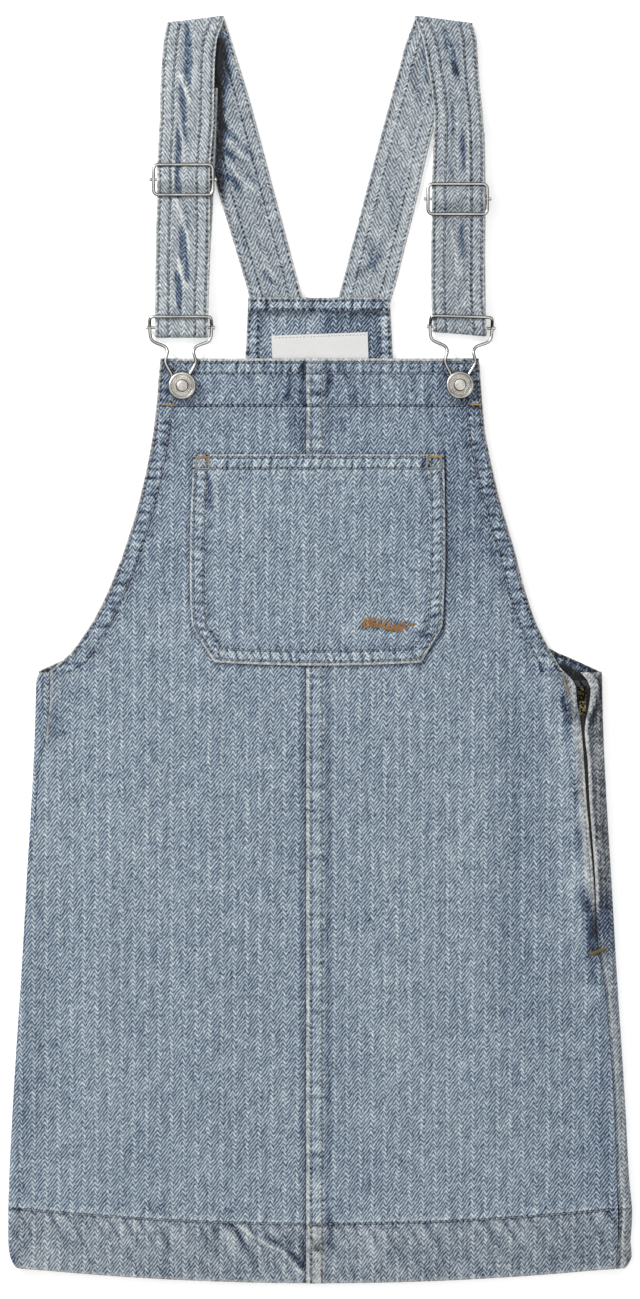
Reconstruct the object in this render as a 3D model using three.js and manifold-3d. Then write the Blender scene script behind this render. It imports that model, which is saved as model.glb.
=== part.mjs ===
// Pinafore dress in washed denim, laid flat on its back. Millimetres, +Z up, straps towards +Y.
// The origin is the middle of the bounding box's underside. The picture's left is the wearer's right.
import * as THREE from 'three';
import Module from 'manifold-3d';

const { Manifold, Mesh, setup } = await (async () => {
  const wasm = await Module();
  wasm.setup();
  return wasm;
})();

// Driving dimensions
const CLOTH = 1.3; // one layer of denim with its slack, as a wall
const SEAM = 0.3; // air between pieces that touch in the real dress
const AIR = 1.3; // air between back and front panels in the middle
const FOLD_R = 3.2; // outer radius of the side folds
const HEM_Y = -400; // lowest point of the hem, at the centre
const HEM_DEPTH = 38;
const HEM_RISE = 8.2; // the hem's rise at 174 mm from the centre
const BIB_TOP = 182;
const BAND_DEPTH = 29; // facing stitched down along the bib's top
const ARMHOLE_HEM = 10.5;
const FELL_EDGE = -8.5; // folded edge of the felled centre-front seam
const FELL_END = 3.8;
const FELL_RISE = 0.7;
const HEM_RISE_Z = 0.5; // what a turned hem adds on the outside
const BACK_TOP = 221;
const STRAP_T = 2.0;
const WIRE_R = 0.95; // buckle wire
const RING_R = 0.85; // slider wire
const RING_W = 39.1;
const RING_H = 20.8;
const RING_Z = 7.85;
const BUTTON_D = 17.5;
const SIDE_TOP = -15; // top of both side seams

// Half width of the laid dress at its side folds
const FOLDS = [
  { y: -400, x: 190.6 }, { y: -388, x: 193.4 }, { y: -380, x: 195.2 }, { y: -370, x: 195.9 },
  { y: -316, x: 194.0 }, { y: -202, x: 187.4 }, { y: -90, x: 180.9 }, { y: -15, x: 178.3 },
];

// Side edges of the front, from the hem to the bib's top; the last rows follow the armholes
const FRONT_EDGE = [
  { y: -400, right: 190.2, left: 186.0 }, { y: -386, right: 193.4, left: 187.7 },
  { y: -337, right: 194.7, left: 187.1 }, { y: -286, right: 191.5, left: 185.2 },
  { y: -247, right: 189.4, left: 182.6 }, { y: -204, right: 186.6, left: 178.3 },
  { y: -186, right: 185.4, left: 175.4 }, { y: -158, right: 183.3, left: 173.8 },
  { y: -121, right: 179.8, left: 170.7 }, { y: -95, right: 177.7, left: 168.3 },
  { y: -72, right: 175.3, left: 166.8 }, { y: -53, right: 171.4, left: 165.4 },
  { y: -43, right: 170.4, left: 164.4 }, { y: -34, right: 169.6, left: 162.6 },
  { y: -22, right: 169.5, left: 161.0 }, { y: -15, right: 169.4, left: 154.6 },
  { y: -12, right: 166.6, left: 152.0 }, { y: -7, right: 160.6, left: 149.2 },
  { y: 0.5, right: 153.7, left: 144.4 }, { y: 8, right: 148.7, left: 140.5 },
  { y: 15, right: 143.9, left: 137.4 }, { y: 30, right: 136.0, left: 131.9 },
  { y: 46, right: 129.2, left: 127.3 }, { y: 61, right: 122.9, left: 123.5 },
  { y: 76, right: 118.4, left: 119.1 }, { y: 91, right: 114.0, left: 114.7 },
  { y: 106, right: 110.3, left: 110.9 }, { y: 121, right: 107.1, left: 107.7 },
  { y: 136, right: 104.6, left: 104.6 }, { y: 151.5, right: 102.7, left: 103.3 },
  { y: 182, right: 100.2, left: 100.8 },
];

// Gap between the zip's two lips, at the wearer's left
const LIP_GAP = [
  { y: -200, gap: 0.3 }, { y: -158, gap: 0.4 }, { y: -146, gap: 1.0 }, { y: -108, gap: 1.7 },
  { y: -72, gap: 2.4 }, { y: -47, gap: 2.8 }, { y: -40, gap: 5.6 }, { y: -34, gap: 7.8 },
  { y: -22, gap: 9.3 }, { y: -15, gap: 9.6 },
];

// The back's armholes: where each distance from the centre ends, up to the side fold
const BACK_ARMHOLE = [
  { x: 44.7, top: 221 }, { x: 46.6, top: 183 }, { x: 50, top: 150 }, { x: 62, top: 110 },
  { x: 85, top: 60 }, { x: 115, top: 25 }, { x: 144.4, top: 0.5 }, { x: 175.1, top: -13.5 },
];

// Row heights shared by front and back at the side seams
const ROWS = [-400, -393, -362.5, -361.5, -318, -262, -205, -186, -158, -121, -95, -72, -53, -43, -34,
  -22, -15];
const BIB_ROWS = [-12, -7, 0.5, 8, 15, 30, 46, 61, 76, 91, 106, 121, 136, 152, 153, 168, 182];

// Soft folds of the front: a line from (x0, y0) to (x1, y1), its half width and its height
const CREASES = [
  { x0: 156, y0: 0, x1: 171, y1: -200, w: 8, h: 1.5 },
  { x0: 118, y0: 0, x1: 128, y1: -230, w: 13, h: -0.6 },
  { x0: -118, y0: -50, x1: -150, y1: -335, w: 15, h: 1.3 },
  { x0: 52, y0: -150, x1: 66, y1: -372, w: 20, h: 0.9 },
  { x0: -58, y0: -80, x1: -66, y1: -310, w: 22, h: 0.8 },
  { x0: -42, y0: -356, x1: -12, y1: -396, w: 6, h: 1.0 },
];

// Strap rows in order from the back bib: left and right edges and mid height
const STRAP_RIGHT = [
  { lx: -41.3, ly: 212.6, rx: -8.2, ry: 212.6, z: 2.9 }, { lx: -43.5, ly: 220.2, rx: -10.1, ry: 220.2, z: 2.9 },
  { lx: -46.0, ly: 229.0, rx: -12.4, ry: 229.0, z: 1.0 }, { lx: -63.9, ly: 288.9, rx: -28.5, ry: 288.9, z: 1.0 },
  { lx: -78.4, ly: 345.6, rx: -43.5, ry: 345.6, z: 1.0 }, { lx: -88.5, ly: 377.1, rx: -53.2, ry: 377.1, z: 1.0 },
  { turn: 'up', lx: -96.1, ly: 392.6, rx: -59.5, ry: 397.0, z: 1.0, z2: 3.4 },
  { lx: -97.8, ly: 384.6, rx: -64.3, ry: 384.6, z: 3.4 }, { lx: -98.9, ly: 372.6, rx: -65.5, ry: 372.6, z: 3.4 },
  { lx: -99.5, ly: 365.1, rx: -65.8, ry: 365.1, z: 3.4 }, { lx: -99.9, ly: 355.6, rx: -66.0, ry: 355.6, z: 5.75 },
  { lx: -100.5, ly: 329.8, rx: -66.4, ry: 329.8, z: 5.75 }, { ring: true, lx: -101.9, rx: -68.5, ly: 295.0, ry: 295.0 },
  { lx: -102.7, ly: 266.8, rx: -68.6, ry: 266.8, z: 4.6 }, { lx: -103.1, ly: 241.6, rx: -69.0, ry: 241.6, z: 4.4 },
  { lx: -103.3, ly: 216.4, rx: -69.9, ry: 216.4, z: 5.8 }, { lx: -103.3, ly: 204, rx: -69.9, ry: 204, z: 5.8 },
  { turn: 'down', lx: -103.3, ly: 199.2, rx: -69.9, ry: 199.2, z: 5.8, z2: 1.0 },
  { lx: -103.3, ly: 210, rx: -69.9, ry: 210, z: 1.0 }, { lx: -102.9, ly: 247.9, rx: -68.6, ry: 247.9, z: 1.0 },
  { lx: -102.0, ly: 268.7, rx: -67.4, ry: 268.7, z: 1.0 }, { lx: -101.4, ly: 280.7, rx: -66.8, ry: 280.7, z: 3.4 },
  { lx: -99.2, ly: 320.4, rx: -64.9, ry: 320.4, z: 3.4 }, { lx: -98.3, ly: 353.1, rx: -63.8, ry: 353.1, z: 3.4 },
];
const STRAP_LEFT = [
  { lx: 9.6, ly: 212.6, rx: 44.0, ry: 212.6, z: 2.9 }, { lx: 11.7, ly: 220.2, rx: 45.4, ry: 220.2, z: 2.9 },
  { lx: 14.0, ly: 229.0, rx: 48.3, ry: 229.0, z: 1.0 }, { lx: 26.1, ly: 275.3, rx: 59.9, ry: 275.3, z: 1.0 },
  { lx: 38.7, ly: 323.3, rx: 70.9, ry: 323.3, z: 1.0 }, { lx: 47.9, ly: 357.5, rx: 81.0, ry: 357.5, z: 1.0 },
  { lx: 53.6, ly: 378.9, rx: 88.2, ry: 378.9, z: 1.0 },
  { turn: 'up', lx: 60.2, ly: 397.0, rx: 97.1, ry: 392.2, z: 1.0, z2: 3.4 },
  { lx: 65.2, ly: 384.6, rx: 99.3, ry: 384.6, z: 3.4 }, { lx: 68.0, ly: 369.5, rx: 100.2, ry: 369.5, z: 3.4 },
  { lx: 70.7, ly: 354.1, rx: 101.3, ry: 354.1, z: 3.4 }, { lx: 72.4, ly: 337.4, rx: 103.2, ry: 337.4, z: 3.4 },
  { lx: 72.1, ly: 327.9, rx: 103.6, ry: 327.9, z: 5.75 }, { lx: 71.7, ly: 310.9, rx: 104.1, ry: 310.9, z: 5.75 },
  { ring: true, lx: 70.9, rx: 104.2, ly: 282.8, ry: 282.8 },
  { lx: 70.6, ly: 254.2, rx: 104.2, ry: 254.2, z: 4.5 }, { lx: 70.3, ly: 234, rx: 104.1, ry: 233, z: 4.5 },
  { lx: 70.6, ly: 219.6, rx: 104.3, ry: 217.4, z: 5.8 }, { lx: 71.2, ly: 207.5, rx: 105.2, ry: 205.0, z: 5.8 },
  { turn: 'down', lx: 71.8, ly: 202.9, rx: 105.8, ry: 200.0, z: 5.8, z2: 1.0 },
  { lx: 71.4, ly: 213.5, rx: 105.2, ry: 211.2, z: 1.0 }, { lx: 71.0, ly: 247.9, rx: 104.8, ry: 247.9, z: 1.0 },
  { lx: 71.4, ly: 282.8, rx: 105.2, ry: 282.8, z: 1.0 }, { lx: 72.0, ly: 294.2, rx: 105.0, ry: 294.2, z: 1.0 },
  { lx: 72.4, ly: 306.0, rx: 104.8, ry: 306.0, z: 3.4 }, { lx: 72.6, ly: 325.2, rx: 104.4, ry: 325.2, z: 3.4 },
];

// Half of the buckle's bent wire: across, along from the cross bar towards the button, height
const BUCKLE = [
  { u: 0, v: -6.6, z: 8.1 }, { u: 17.6, v: -6.6, z: 8.1 }, { u: 19.3, v: -5.4, z: 7.6 },
  { u: 19.5, v: -2.2, z: 5.0 }, { u: 19.5, v: 0, z: 3.6 }, { u: 19.2, v: 5.4, z: 3.4 },
  { u: 17.2, v: 9.8, z: 3.6 }, { u: 12.5, v: 12.2, z: 4.0 }, { u: 8.4, v: 14.2, z: 4.7 },
  { u: 8.4, v: 17.6, z: 5.75 }, { u: 9.6, v: 20.5, z: 5.8 }, { u: 8.2, v: 25.4, z: 5.8 },
  { u: 5.4, v: 29.5, z: 5.8 }, { u: 4.6, v: 37.6, z: 5.8 }, { u: 3.0, v: 41.6, z: 5.8 },
  { u: 0, v: 42.9, z: 5.8 },
];

const clamp = (t, a = 0, b = 1) => Math.min(b, Math.max(a, t));
const smooth = (t) => clamp(t) ** 2 * (3 - 2 * clamp(t));
const mix = (a, b, t) => a + (b - a) * t;

// Value of a column of a table at y, straight between its rows
function at(table, key, y, by = 'y') {
  const last = table.length - 1;
  if (y <= table[0][by]) return table[0][key];
  for (let i = 0; i < last; i++) {
    const a = table[i];
    const b = table[i + 1];
    if (y <= b[by]) return mix(a[key], b[key], (y - a[by]) / (b[by] - a[by]));
  }
  return table[last][key];
}

const foldX = (y) => at(FOLDS, 'x', y);
const hemRise = (x, y) => HEM_RISE * (x / 174) ** 2 * smooth((-150 - y) / 212)
  + 3.5 * clamp((Math.abs(x) - 188) / 6) ** 2 * smooth((-385 - y) / 14);

// Height that the soft folds add at a point of the front
function creases(x, y) {
  let sum = 0;
  for (const c of CREASES) {
    const dx = c.x1 - c.x0;
    const dy = c.y1 - c.y0;
    const t = ((x - c.x0) * dx + (y - c.y0) * dy) / (dx * dx + dy * dy);
    const off = Math.abs((x - c.x0) * dy - (y - c.y0) * dx) / Math.hypot(dx, dy);
    sum += c.h * Math.exp(-((off / c.w) ** 2)) * smooth(t * 5) * smooth((1 - t) * 5);
  }
  return sum;
}

// Outer height of the laid front, without its seams and hems
function topZ(x, y) {
  const middle = CLOTH + AIR + CLOTH + creases(x, y);
  const side = smooth((30 - y) / 45);
  const near = 1 - smooth((foldX(y) - FOLD_R - Math.abs(x)) / 18);
  return Math.min(mix(middle, 2 * FOLD_R, side * near), 2 * FOLD_R);
}

// A point of the tube's outer wall at the arc length s from the top of a side fold, and its normal
function section(sign, s, y) {
  const xf = foldX(y) - FOLD_R;
  if (s <= 0) {
    const x = sign * (xf + s);
    return { p: [x, y, topZ(x, y)], n: [0, 0, 1] };
  }
  const a = s / FOLD_R;
  if (a < Math.PI) {
    const n = [sign * Math.sin(a), 0, Math.cos(a)];
    return { p: [sign * (xf + FOLD_R * Math.sin(a)), y, FOLD_R + FOLD_R * Math.cos(a)], n };
  }
  return { p: [sign * (xf - (s - Math.PI * FOLD_R)), y, 0], n: [0, 0, -1] };
}

// Arc length of the front's side edge, on the same measure
function frontEnd(sign, y) {
  const x = at(FRONT_EDGE, sign < 0 ? 'right' : 'left', y);
  const off = x - (foldX(y) - FOLD_R);
  return off <= 0 ? off : FOLD_R * Math.asin(clamp(off / FOLD_R, 0, 0.98));
}

// A closed mesh from points and triangles, its faces turned outwards
function solid(name, points, triangles, colour) {
  let volume = 0;
  const v = (i) => new THREE.Vector3(...points[i]);
  for (const [a, b, c] of triangles) volume += v(a).dot(v(b).cross(v(c)));
  const faces = volume < 0 ? triangles.map(([a, b, c]) => [a, c, b]) : triangles;
  const geometry = new THREE.BufferGeometry();
  geometry.setAttribute('position', new THREE.Float32BufferAttribute(points.flat(), 3));
  geometry.setIndex(faces.flat());
  geometry.computeVertexNormals();
  const mesh = new THREE.Mesh(geometry, new THREE.MeshStandardMaterial({ color: colour }));
  mesh.name = name;
  return mesh;
}

// A wall from a grid of outer and inner points, closed round its border
function wall(name, grid, colour) {
  const rows = grid.length;
  const cols = grid[0].length;
  const points = grid.flat().flatMap((g) => [g.out, g.in]);
  const id = (r, c, side) => (r * cols + c) * 2 + side;
  const triangles = [];
  const quad = (a, b, c, d) => triangles.push([a, b, c], [a, c, d]);
  for (let r = 0; r < rows - 1; r++) {
    for (let c = 0; c < cols - 1; c++) {
      quad(id(r, c, 0), id(r, c + 1, 0), id(r + 1, c + 1, 0), id(r + 1, c, 0));
      quad(id(r, c, 1), id(r + 1, c, 1), id(r + 1, c + 1, 1), id(r, c + 1, 1));
    }
    quad(id(r, 0, 0), id(r + 1, 0, 0), id(r + 1, 0, 1), id(r, 0, 1));
    quad(id(r, cols - 1, 0), id(r, cols - 1, 1), id(r + 1, cols - 1, 1), id(r + 1, cols - 1, 0));
  }
  for (let c = 0; c < cols - 1; c++) {
    quad(id(0, c, 0), id(0, c, 1), id(0, c + 1, 1), id(0, c + 1, 0));
    quad(id(rows - 1, c, 0), id(rows - 1, c + 1, 0), id(rows - 1, c + 1, 1), id(rows - 1, c, 1));
  }
  return solid(name, points, triangles, colour);
}

// Outer and inner point of a wall from a section point and an added outer height
function layer({ p, n }, rise = 0) {
  const out = [p[0] + n[0] * rise, p[1], p[2] + n[2] * rise];
  return { out, in: [p[0] - n[0] * CLOTH, p[1], p[2] - n[2] * CLOTH] };
}

// Front panels, from the centre seam to the side seam and the armhole
function frontPanel(name, sign, colour) {
  const edge = sign < 0 ? FELL_EDGE - SEAM : FELL_EDGE;
  const inner = sign < 0 ? [edge, edge - 1.2] : [edge, edge + 1, FELL_END - 0.4, FELL_END + 0.6];
  const grid = [];
  for (const base of [...ROWS, ...BIB_ROWS]) {
    const row = [];
    const xf = foldX(base) - FOLD_R;
    const end = frontEnd(sign, base);
    const start = Math.abs(inner[inner.length - 1] * sign) * Math.sign(inner[inner.length - 1] * sign) - xf;
    const cols = inner.map((x) => x * sign - xf);
    const stop = end - ARMHOLE_HEM - 1;
    for (let i = 1; i <= 8; i++) cols.push(mix(start, stop, i / 8));
    cols.push(end - ARMHOLE_HEM, end - 5, end - 2, end);
    cols.forEach((s, i) => {
      const probe = section(sign, s, base);
      const y = base + hemRise(probe.p[0], base);
      const at = section(sign, s, base);
      at.p[1] = y;
      let rise = 0;
      if (sign > 0 && i < 3) rise += FELL_RISE;
      if (base > SIDE_TOP + 8 && s >= end - ARMHOLE_HEM) rise += HEM_RISE_Z;
      if (base >= BIB_TOP - BAND_DEPTH || base <= -362) rise = Math.max(rise, HEM_RISE_Z);
      row.push(layer(at, rise));
    });
    grid.push(row);
  }
  return wall(name, grid, colour);
}

// Back panels: flat on the ground, round the side fold and up to the side seam
function backPanel(name, sign, colour) {
  const flatX = [SEAM / 2, 22, 38, 44.7, 46.6, 50, 62, 85, 115, 144.4, 162];
  const reach = foldX(SIDE_TOP) - FOLD_R;
  const grid = [];
  const span = SIDE_TOP - HEM_Y;
  for (const base of ROWS) {
    const row = [];
    for (const x of flatX) {
      const top = at(BACK_ARMHOLE, 'top', x, 'x');
      const y = HEM_Y + (base - HEM_Y) * ((top - HEM_Y) / span);
      const wide = (foldX(y) - FOLD_R) / reach;
      const px = x < 1 ? x : x * (y < SIDE_TOP ? wide : 1);
      const rise = hemRise(px, y);
      row.push({ out: [sign * px, y + rise, 0], in: [sign * px, y + rise, CLOTH] });
    }
    const gap = sign > 0 ? at(LIP_GAP, 'gap', base) : SEAM;
    const end = frontEnd(sign, base) + gap;
    const turn = [Math.PI, Math.PI * 0.82, Math.PI * 0.64, Math.PI * 0.5].map((a) => a * FOLD_R);
    for (const f of [0.25, 0.5, 0.75, 1]) turn.push(mix(turn[3], end, f));
    for (const s of turn) {
      const point = section(sign, s, base);
      const lift = base === SIDE_TOP ? armholeDrop(sign, s) : 0;
      point.p[1] = base + lift + hemRise(point.p[0], base);
      row.push(layer(point));
    }
    grid.push(row);
  }
  return wall(name, grid, colour);
}

// How far the back's armhole edge departs from the side seam's top on its way round the fold
function armholeDrop(sign, s) {
  const apex = FOLD_R * Math.PI * 0.5;
  const t = clamp(s / apex);
  return (sign < 0 ? -6.5 : 0.6) * smooth(t) * (s > apex ? 1 - 0.9 * clamp((s - apex) / apex) : 1);
}

// Chest pocket, laid over the bib at a seam's distance
function pocket(name, colour) {
  const rows = [
    { y: 122.3, l: -79.1, r: 78.4 }, { y: 113.5, l: -79.6, r: 79.0 }, { y: 86, l: -80.8, r: 80.0 },
    { y: 41, l: -80.8, r: 80.0 }, { y: 12.3, l: -78.6, r: 78.2 }, { y: -8.6, l: -65.1, r: 64.3 },
  ];
  const grid = [];
  for (let k = 0; k < rows.length - 1; k++) {
    const steps = k === rows.length - 2 ? 2 : [1, 2, 3, 2][k] ?? 1;
    for (let i = 0; i < steps + (k === rows.length - 2 ? 1 : 0); i++) {
      const y = mix(rows[k].y, rows[k + 1].y, i / steps);
      const l = mix(rows[k].l, rows[k + 1].l, i / steps);
      const r = mix(rows[k].r, rows[k + 1].r, i / steps);
      const xs = [l, mix(l, -13, 0.33), mix(l, -13, 0.67), -13, FELL_EDGE - 1, FELL_END + 1.4, 8.6,
        mix(8.6, r, 0.33), mix(8.6, r, 0.67), r];
      grid.push(xs.map((x) => {
        const seam = x >= FELL_EDGE - 1.1 && x <= FELL_END + 1.5 ? FELL_RISE : 0;
        const low = k === rows.length - 2 && i === steps ? -2.2 * (1 - (x / 65) ** 2) : 0;
        const z = topZ(x, y) + seam + SEAM + 0.1;
        return { out: [x, y + low, z + CLOTH], in: [x, y + low, z] };
      }));
    }
  }
  return wall(name, grid, colour);
}

// Turned hem along the back bib's top, over the strap ends
function backHem(name, colour) {
  const xs = [-44.7, -28, -10, -6.6, -2.6, 4, 7.8, 11, 28, 44.7];
  const z = (x) => (x < -6 || x > 7.5 ? 4.3 : 1.7);
  const grid = [BACK_TOP, BACK_TOP - 8.2].map((y) =>
    xs.map((x) => ({ out: [x, y, z(x) + 1.1], in: [x, y, z(x)] })));
  return wall(name, grid, colour);
}

// Rows of a strap's mid surface, with its turns and the rise over the slider's bar made round
function strapRows(table) {
  const rows = [];
  const add = (l, r, z) => rows.push({ l: [...l, z], r: [...r, z] });
  for (const t of table) {
    const l = [t.lx, t.ly];
    const r = [t.rx, t.ry];
    if (t.turn) {
      const width = Math.hypot(r[0] - l[0], r[1] - l[1]);
      const up = t.turn === 'up' ? 1 : -1;
      const m = [(-(r[1] - l[1]) / width) * up, ((r[0] - l[0]) / width) * up];
      const radius = Math.abs(t.z2 - t.z) / 2;
      for (const a of [0, 0.25, 0.5, 0.75, 1].map((f) => f * Math.PI)) {
        const out = radius * Math.sin(a);
        const z = (t.z + t.z2) / 2 + ((t.z - t.z2) / 2) * Math.cos(a);
        add([l[0] + m[0] * out, l[1] + m[1] * out], [r[0] + m[0] * out, r[1] + m[1] * out], z);
      }
    } else if (t.ring) {
      for (const [dy, z] of [[10.2, 5.7], [7.6, 5.75], [2, 10], [-2, 10], [-7.6, 5.75], [-10.2, 5.7]])
        add([l[0], l[1] + dy], [r[0], r[1] + dy], z);
    } else add(l, r, t.z);
  }
  return rows;
}

function strap(name, table, colour) {
  const rows = strapRows(table);
  const V = (p) => new THREE.Vector3(...p);
  const grid = rows.map((row, i) => {
    const a = rows[Math.max(0, i - 1)];
    const b = rows[Math.min(rows.length - 1, i + 1)];
    const across = V(row.r).sub(V(row.l)).normalize();
    const step = (p, q) => V(q).sub(V(p)).normalize();
    const before = step(V(a.l).add(V(a.r)), V(row.l).add(V(row.r)));
    const after = step(V(row.l).add(V(row.r)), V(b.l).add(V(b.r)));
    if (i === 0) before.copy(after);
    if (i === rows.length - 1) after.copy(before);
    const n = across.clone().cross(before.clone().add(after)).normalize();
    const bend = Math.max(0.8, Math.sqrt((1 + before.dot(after)) / 2));
    const half = STRAP_T / 2 / bend;
    return [row.l, mixPoint(row.l, row.r, 0.5), row.r].map((p) => ({
      out: V(p).addScaledVector(n, half).toArray(),
      in: V(p).addScaledVector(n, -half).toArray(),
    }));
  });
  return wall(name, grid, colour);
}

const mixPoint = (a, b, t) => a.map((v, i) => mix(v, b[i], t));

// A round wire along points; a closed one joins its ends, an open one is capped
function wire(points, radius, closed, sides = 6) {
  const V = points.map((p) => new THREE.Vector3(...p));
  const n = V.length;
  const verts = [];
  let side = null;
  for (let i = 0; i < n; i++) {
    const prev = V[closed ? (i + n - 1) % n : Math.max(0, i - 1)];
    const next = V[closed ? (i + 1) % n : Math.min(n - 1, i + 1)];
    const tangent = next.clone().sub(prev).normalize();
    if (!side) side = new THREE.Vector3(0, 0, 1);
    side.addScaledVector(tangent, -side.dot(tangent)).normalize();
    const other = tangent.clone().cross(side);
    for (let k = 0; k < sides; k++) {
      const a = (2 * Math.PI * k) / sides;
      const off = side.clone().multiplyScalar(Math.cos(a)).addScaledVector(other, Math.sin(a));
      verts.push(V[i].clone().addScaledVector(off, radius).toArray());
    }
  }
  const tris = [];
  const id = (i, k) => (i % n) * sides + (k % sides);
  for (let i = 0; i < (closed ? n : n - 1); i++) {
    for (let k = 0; k < sides; k++) {
      tris.push([id(i, k), id(i + 1, k), id(i + 1, k + 1)], [id(i, k), id(i + 1, k + 1), id(i, k + 1)]);
    }
  }
  for (let k = 1; !closed && k < sides - 1; k++) {
    tris.push([id(0, 0), id(0, k), id(0, k + 1)], [id(n - 1, 0), id(n - 1, k + 1), id(n - 1, k)]);
  }
  return { verts, tris };
}

// A body turned about the Z axis from a profile of [radius, height] that starts and ends on it
function turned(centre, profile, sides) {
  const verts = [];
  const rings = profile.map(([r, z]) => {
    const start = verts.length;
    for (let k = 0; k < (r > 0 ? sides : 1); k++) {
      const a = (2 * Math.PI * k) / sides;
      verts.push([centre[0] + r * Math.cos(a), centre[1] + r * Math.sin(a), centre[2] + z]);
    }
    return { start, round: r > 0 };
  });
  const tris = [];
  for (let i = 0; i < rings.length - 1; i++) {
    const [a, b] = [rings[i], rings[i + 1]];
    for (let k = 0; k < sides; k++) {
      const m = (k + 1) % sides;
      if (a.round) tris.push([a.start + k, a.start + m, b.start + (b.round ? m : 0)]);
      if (b.round) tris.push([a.start + (a.round ? k : 0), b.start + m, b.start + k]);
    }
  }
  return { verts, tris };
}

// One body from overlapping closed shapes
function joined(name, shapes, colour) {
  let body = null;
  for (const shape of shapes) {
    const mesh = solid('shape', shape.verts, shape.tris, colour);
    const made = new Manifold(new Mesh({
      numProp: 3,
      vertProperties: new Float32Array(mesh.geometry.attributes.position.array),
      triVerts: new Uint32Array(mesh.geometry.index.array),
    }));
    body = body ? body.add(made) : made;
  }
  const out = body.getMesh();
  const verts = [];
  const tris = [];
  for (let i = 0; i < out.vertProperties.length; i += out.numProp)
    verts.push([...out.vertProperties.slice(i, i + 3)]);
  for (let i = 0; i < out.triVerts.length; i += 3) tris.push([...out.triVerts.slice(i, i + 3)]);
  return solid(name, verts, tris, colour);
}

function box(x0, x1, y0, y1, z0, z1) {
  const verts = [];
  for (const z of [z0, z1]) for (const y of [y0, y1]) for (const x of [x0, x1]) verts.push([x, y, z]);
  const quads = [[0, 2, 3, 1], [4, 5, 7, 6], [0, 1, 5, 4], [2, 6, 7, 3], [0, 4, 6, 2], [1, 3, 7, 5]];
  return { verts, tris: quads.flatMap(([a, b, c, d]) => [[a, b, c], [a, c, d]]) };
}

// A riveted cross bar with a knob at each end
function bar(from, to, radius, knob) {
  const ends = [from, to].map((p) => turned(p, [[0, -knob], [knob * 0.8, -knob * 0.6], [knob, 0],
    [knob * 0.8, knob * 0.6], [0, knob]], 8));
  return [wire([from, to], radius, false), ...ends];
}

// Slider: a rounded wire frame with its bar
function slider(name, x, y, colour) {
  const hw = RING_W / 2 - RING_R;
  const hh = RING_H / 2 - RING_R;
  const r = 2.6;
  const ring = [];
  for (const [sx, sy, start] of [[1, 1, 0], [-1, 1, 1], [-1, -1, 2], [1, -1, 3]]) {
    for (const f of [0, 1 / 3, 2 / 3, 1]) {
      const a = (start + f) * Math.PI * 0.5;
      ring.push([x + sx * (hw - r) + r * Math.cos(a), y + sy * (hh - r) + r * Math.sin(a), RING_Z]);
    }
  }
  const reach = RING_W / 2 + 1.0;
  return joined(name, [wire(ring, RING_R, true),
    ...bar([x - reach, y, RING_Z], [x + reach, y, RING_Z], 0.75, 1.15)], colour);
}

// Buckle: one bent wire with its cross bar, turned about the cross bar's middle
function buckle(name, x, y, turn, colour) {
  const place = (u, v, z) => [
    x + u * Math.cos(turn) + v * Math.sin(turn), y + u * Math.sin(turn) - v * Math.cos(turn), z];
  const half = BUCKLE.slice(1, -1);
  const loop = [BUCKLE[0], ...half, BUCKLE[BUCKLE.length - 1], ...half.slice().reverse().map((p) => (
    { u: -p.u, v: p.v, z: p.z }))];
  const path = loop.map((p) => place(p.u, p.v, p.z));
  return joined(name, [wire(path, WIRE_R, true),
    ...bar(place(-20.6, 0, 3.5), place(20.6, 0, 3.5), WIRE_R, 1.3)], colour);
}

// Jeans button: shank and domed head with a ring groove
function button(name, x, y, colour) {
  const r = BUTTON_D / 2;
  const z = CLOTH + AIR + CLOTH + HEM_RISE_Z + SEAM;
  const profile = [[0, 0], [2, 0], [2, 2.5], [r - 0.6, 2.5], [r, 3.1], [r - 0.2, 3.9], [r - 1.8, 4.7],
    [r - 2.8, 4.4], [r - 3.4, 4.3], [r - 4.2, 4.8], [2.4, 5.2], [0, 5.3]];
  const body = turned([x, y, z], profile, 20);
  return solid(name, body.verts, body.tris, colour);
}

// Zip tapes under the lips, one along each side of the zip's middle
function zipTape(name, back, colour) {
  const grid = ROWS.filter((y) => y >= -186 && y <= -22).map((y) => {
    const xs = frontEnd(1, y) + foldX(y) - FOLD_R;
    const xb = xs + at(LIP_GAP, 'gap', y);
    const mid = (xs + xb) / 2;
    const under = Math.min(topZ(xs - 4.5, y), topZ(xs, y), topZ(xb, y)) - CLOTH - 0.4;
    const ends = back ? [mid + SEAM / 2, xb + 3.6] : [xs - 4, mid - SEAM / 2];
    return ends.map((x) => ({ out: [x, y, under], in: [x, y, under - 0.7] }));
  });
  return wall(name, grid, colour);
}

// Zip slider with its bridge, and the pull tab whose end bar turns in it
const ZIP_X = 165.7;
const ZIP_Y = -27.5;
const PULL_AXIS_Z = 7.35;
function zipSlider(name, colour) {
  const [x, y] = [ZIP_X, ZIP_Y];
  return joined(name, [box(x - 2.9, x + 2.9, y - 4, y + 3.8, 4.55, 6.3), box(x - 0.7, x + 0.7, y - 2.5, y - 1.6, 6.2, 9),
    box(x - 0.7, x + 0.7, y + 1.6, y + 2.5, 6.2, 9), box(x - 0.7, x + 0.7, y - 2.5, y + 2.5, 8.3, 9)], colour);
}

function zipPull(name, colour) {
  const [x, y, z] = [ZIP_X, ZIP_Y, PULL_AXIS_Z];
  const h = 0.45;
  return joined(name, [box(x - 2, x + 2, y - h, y + h, z - h, z + h), box(x - 2, x - 1.1, y - 4, y, z - h, z + h),
    box(x + 1.1, x + 2, y - 4, y, z - h, z + h), box(x - 2, x + 2, y - 14.5, y - 3.6, z - h, z + h)], colour);
}

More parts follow.
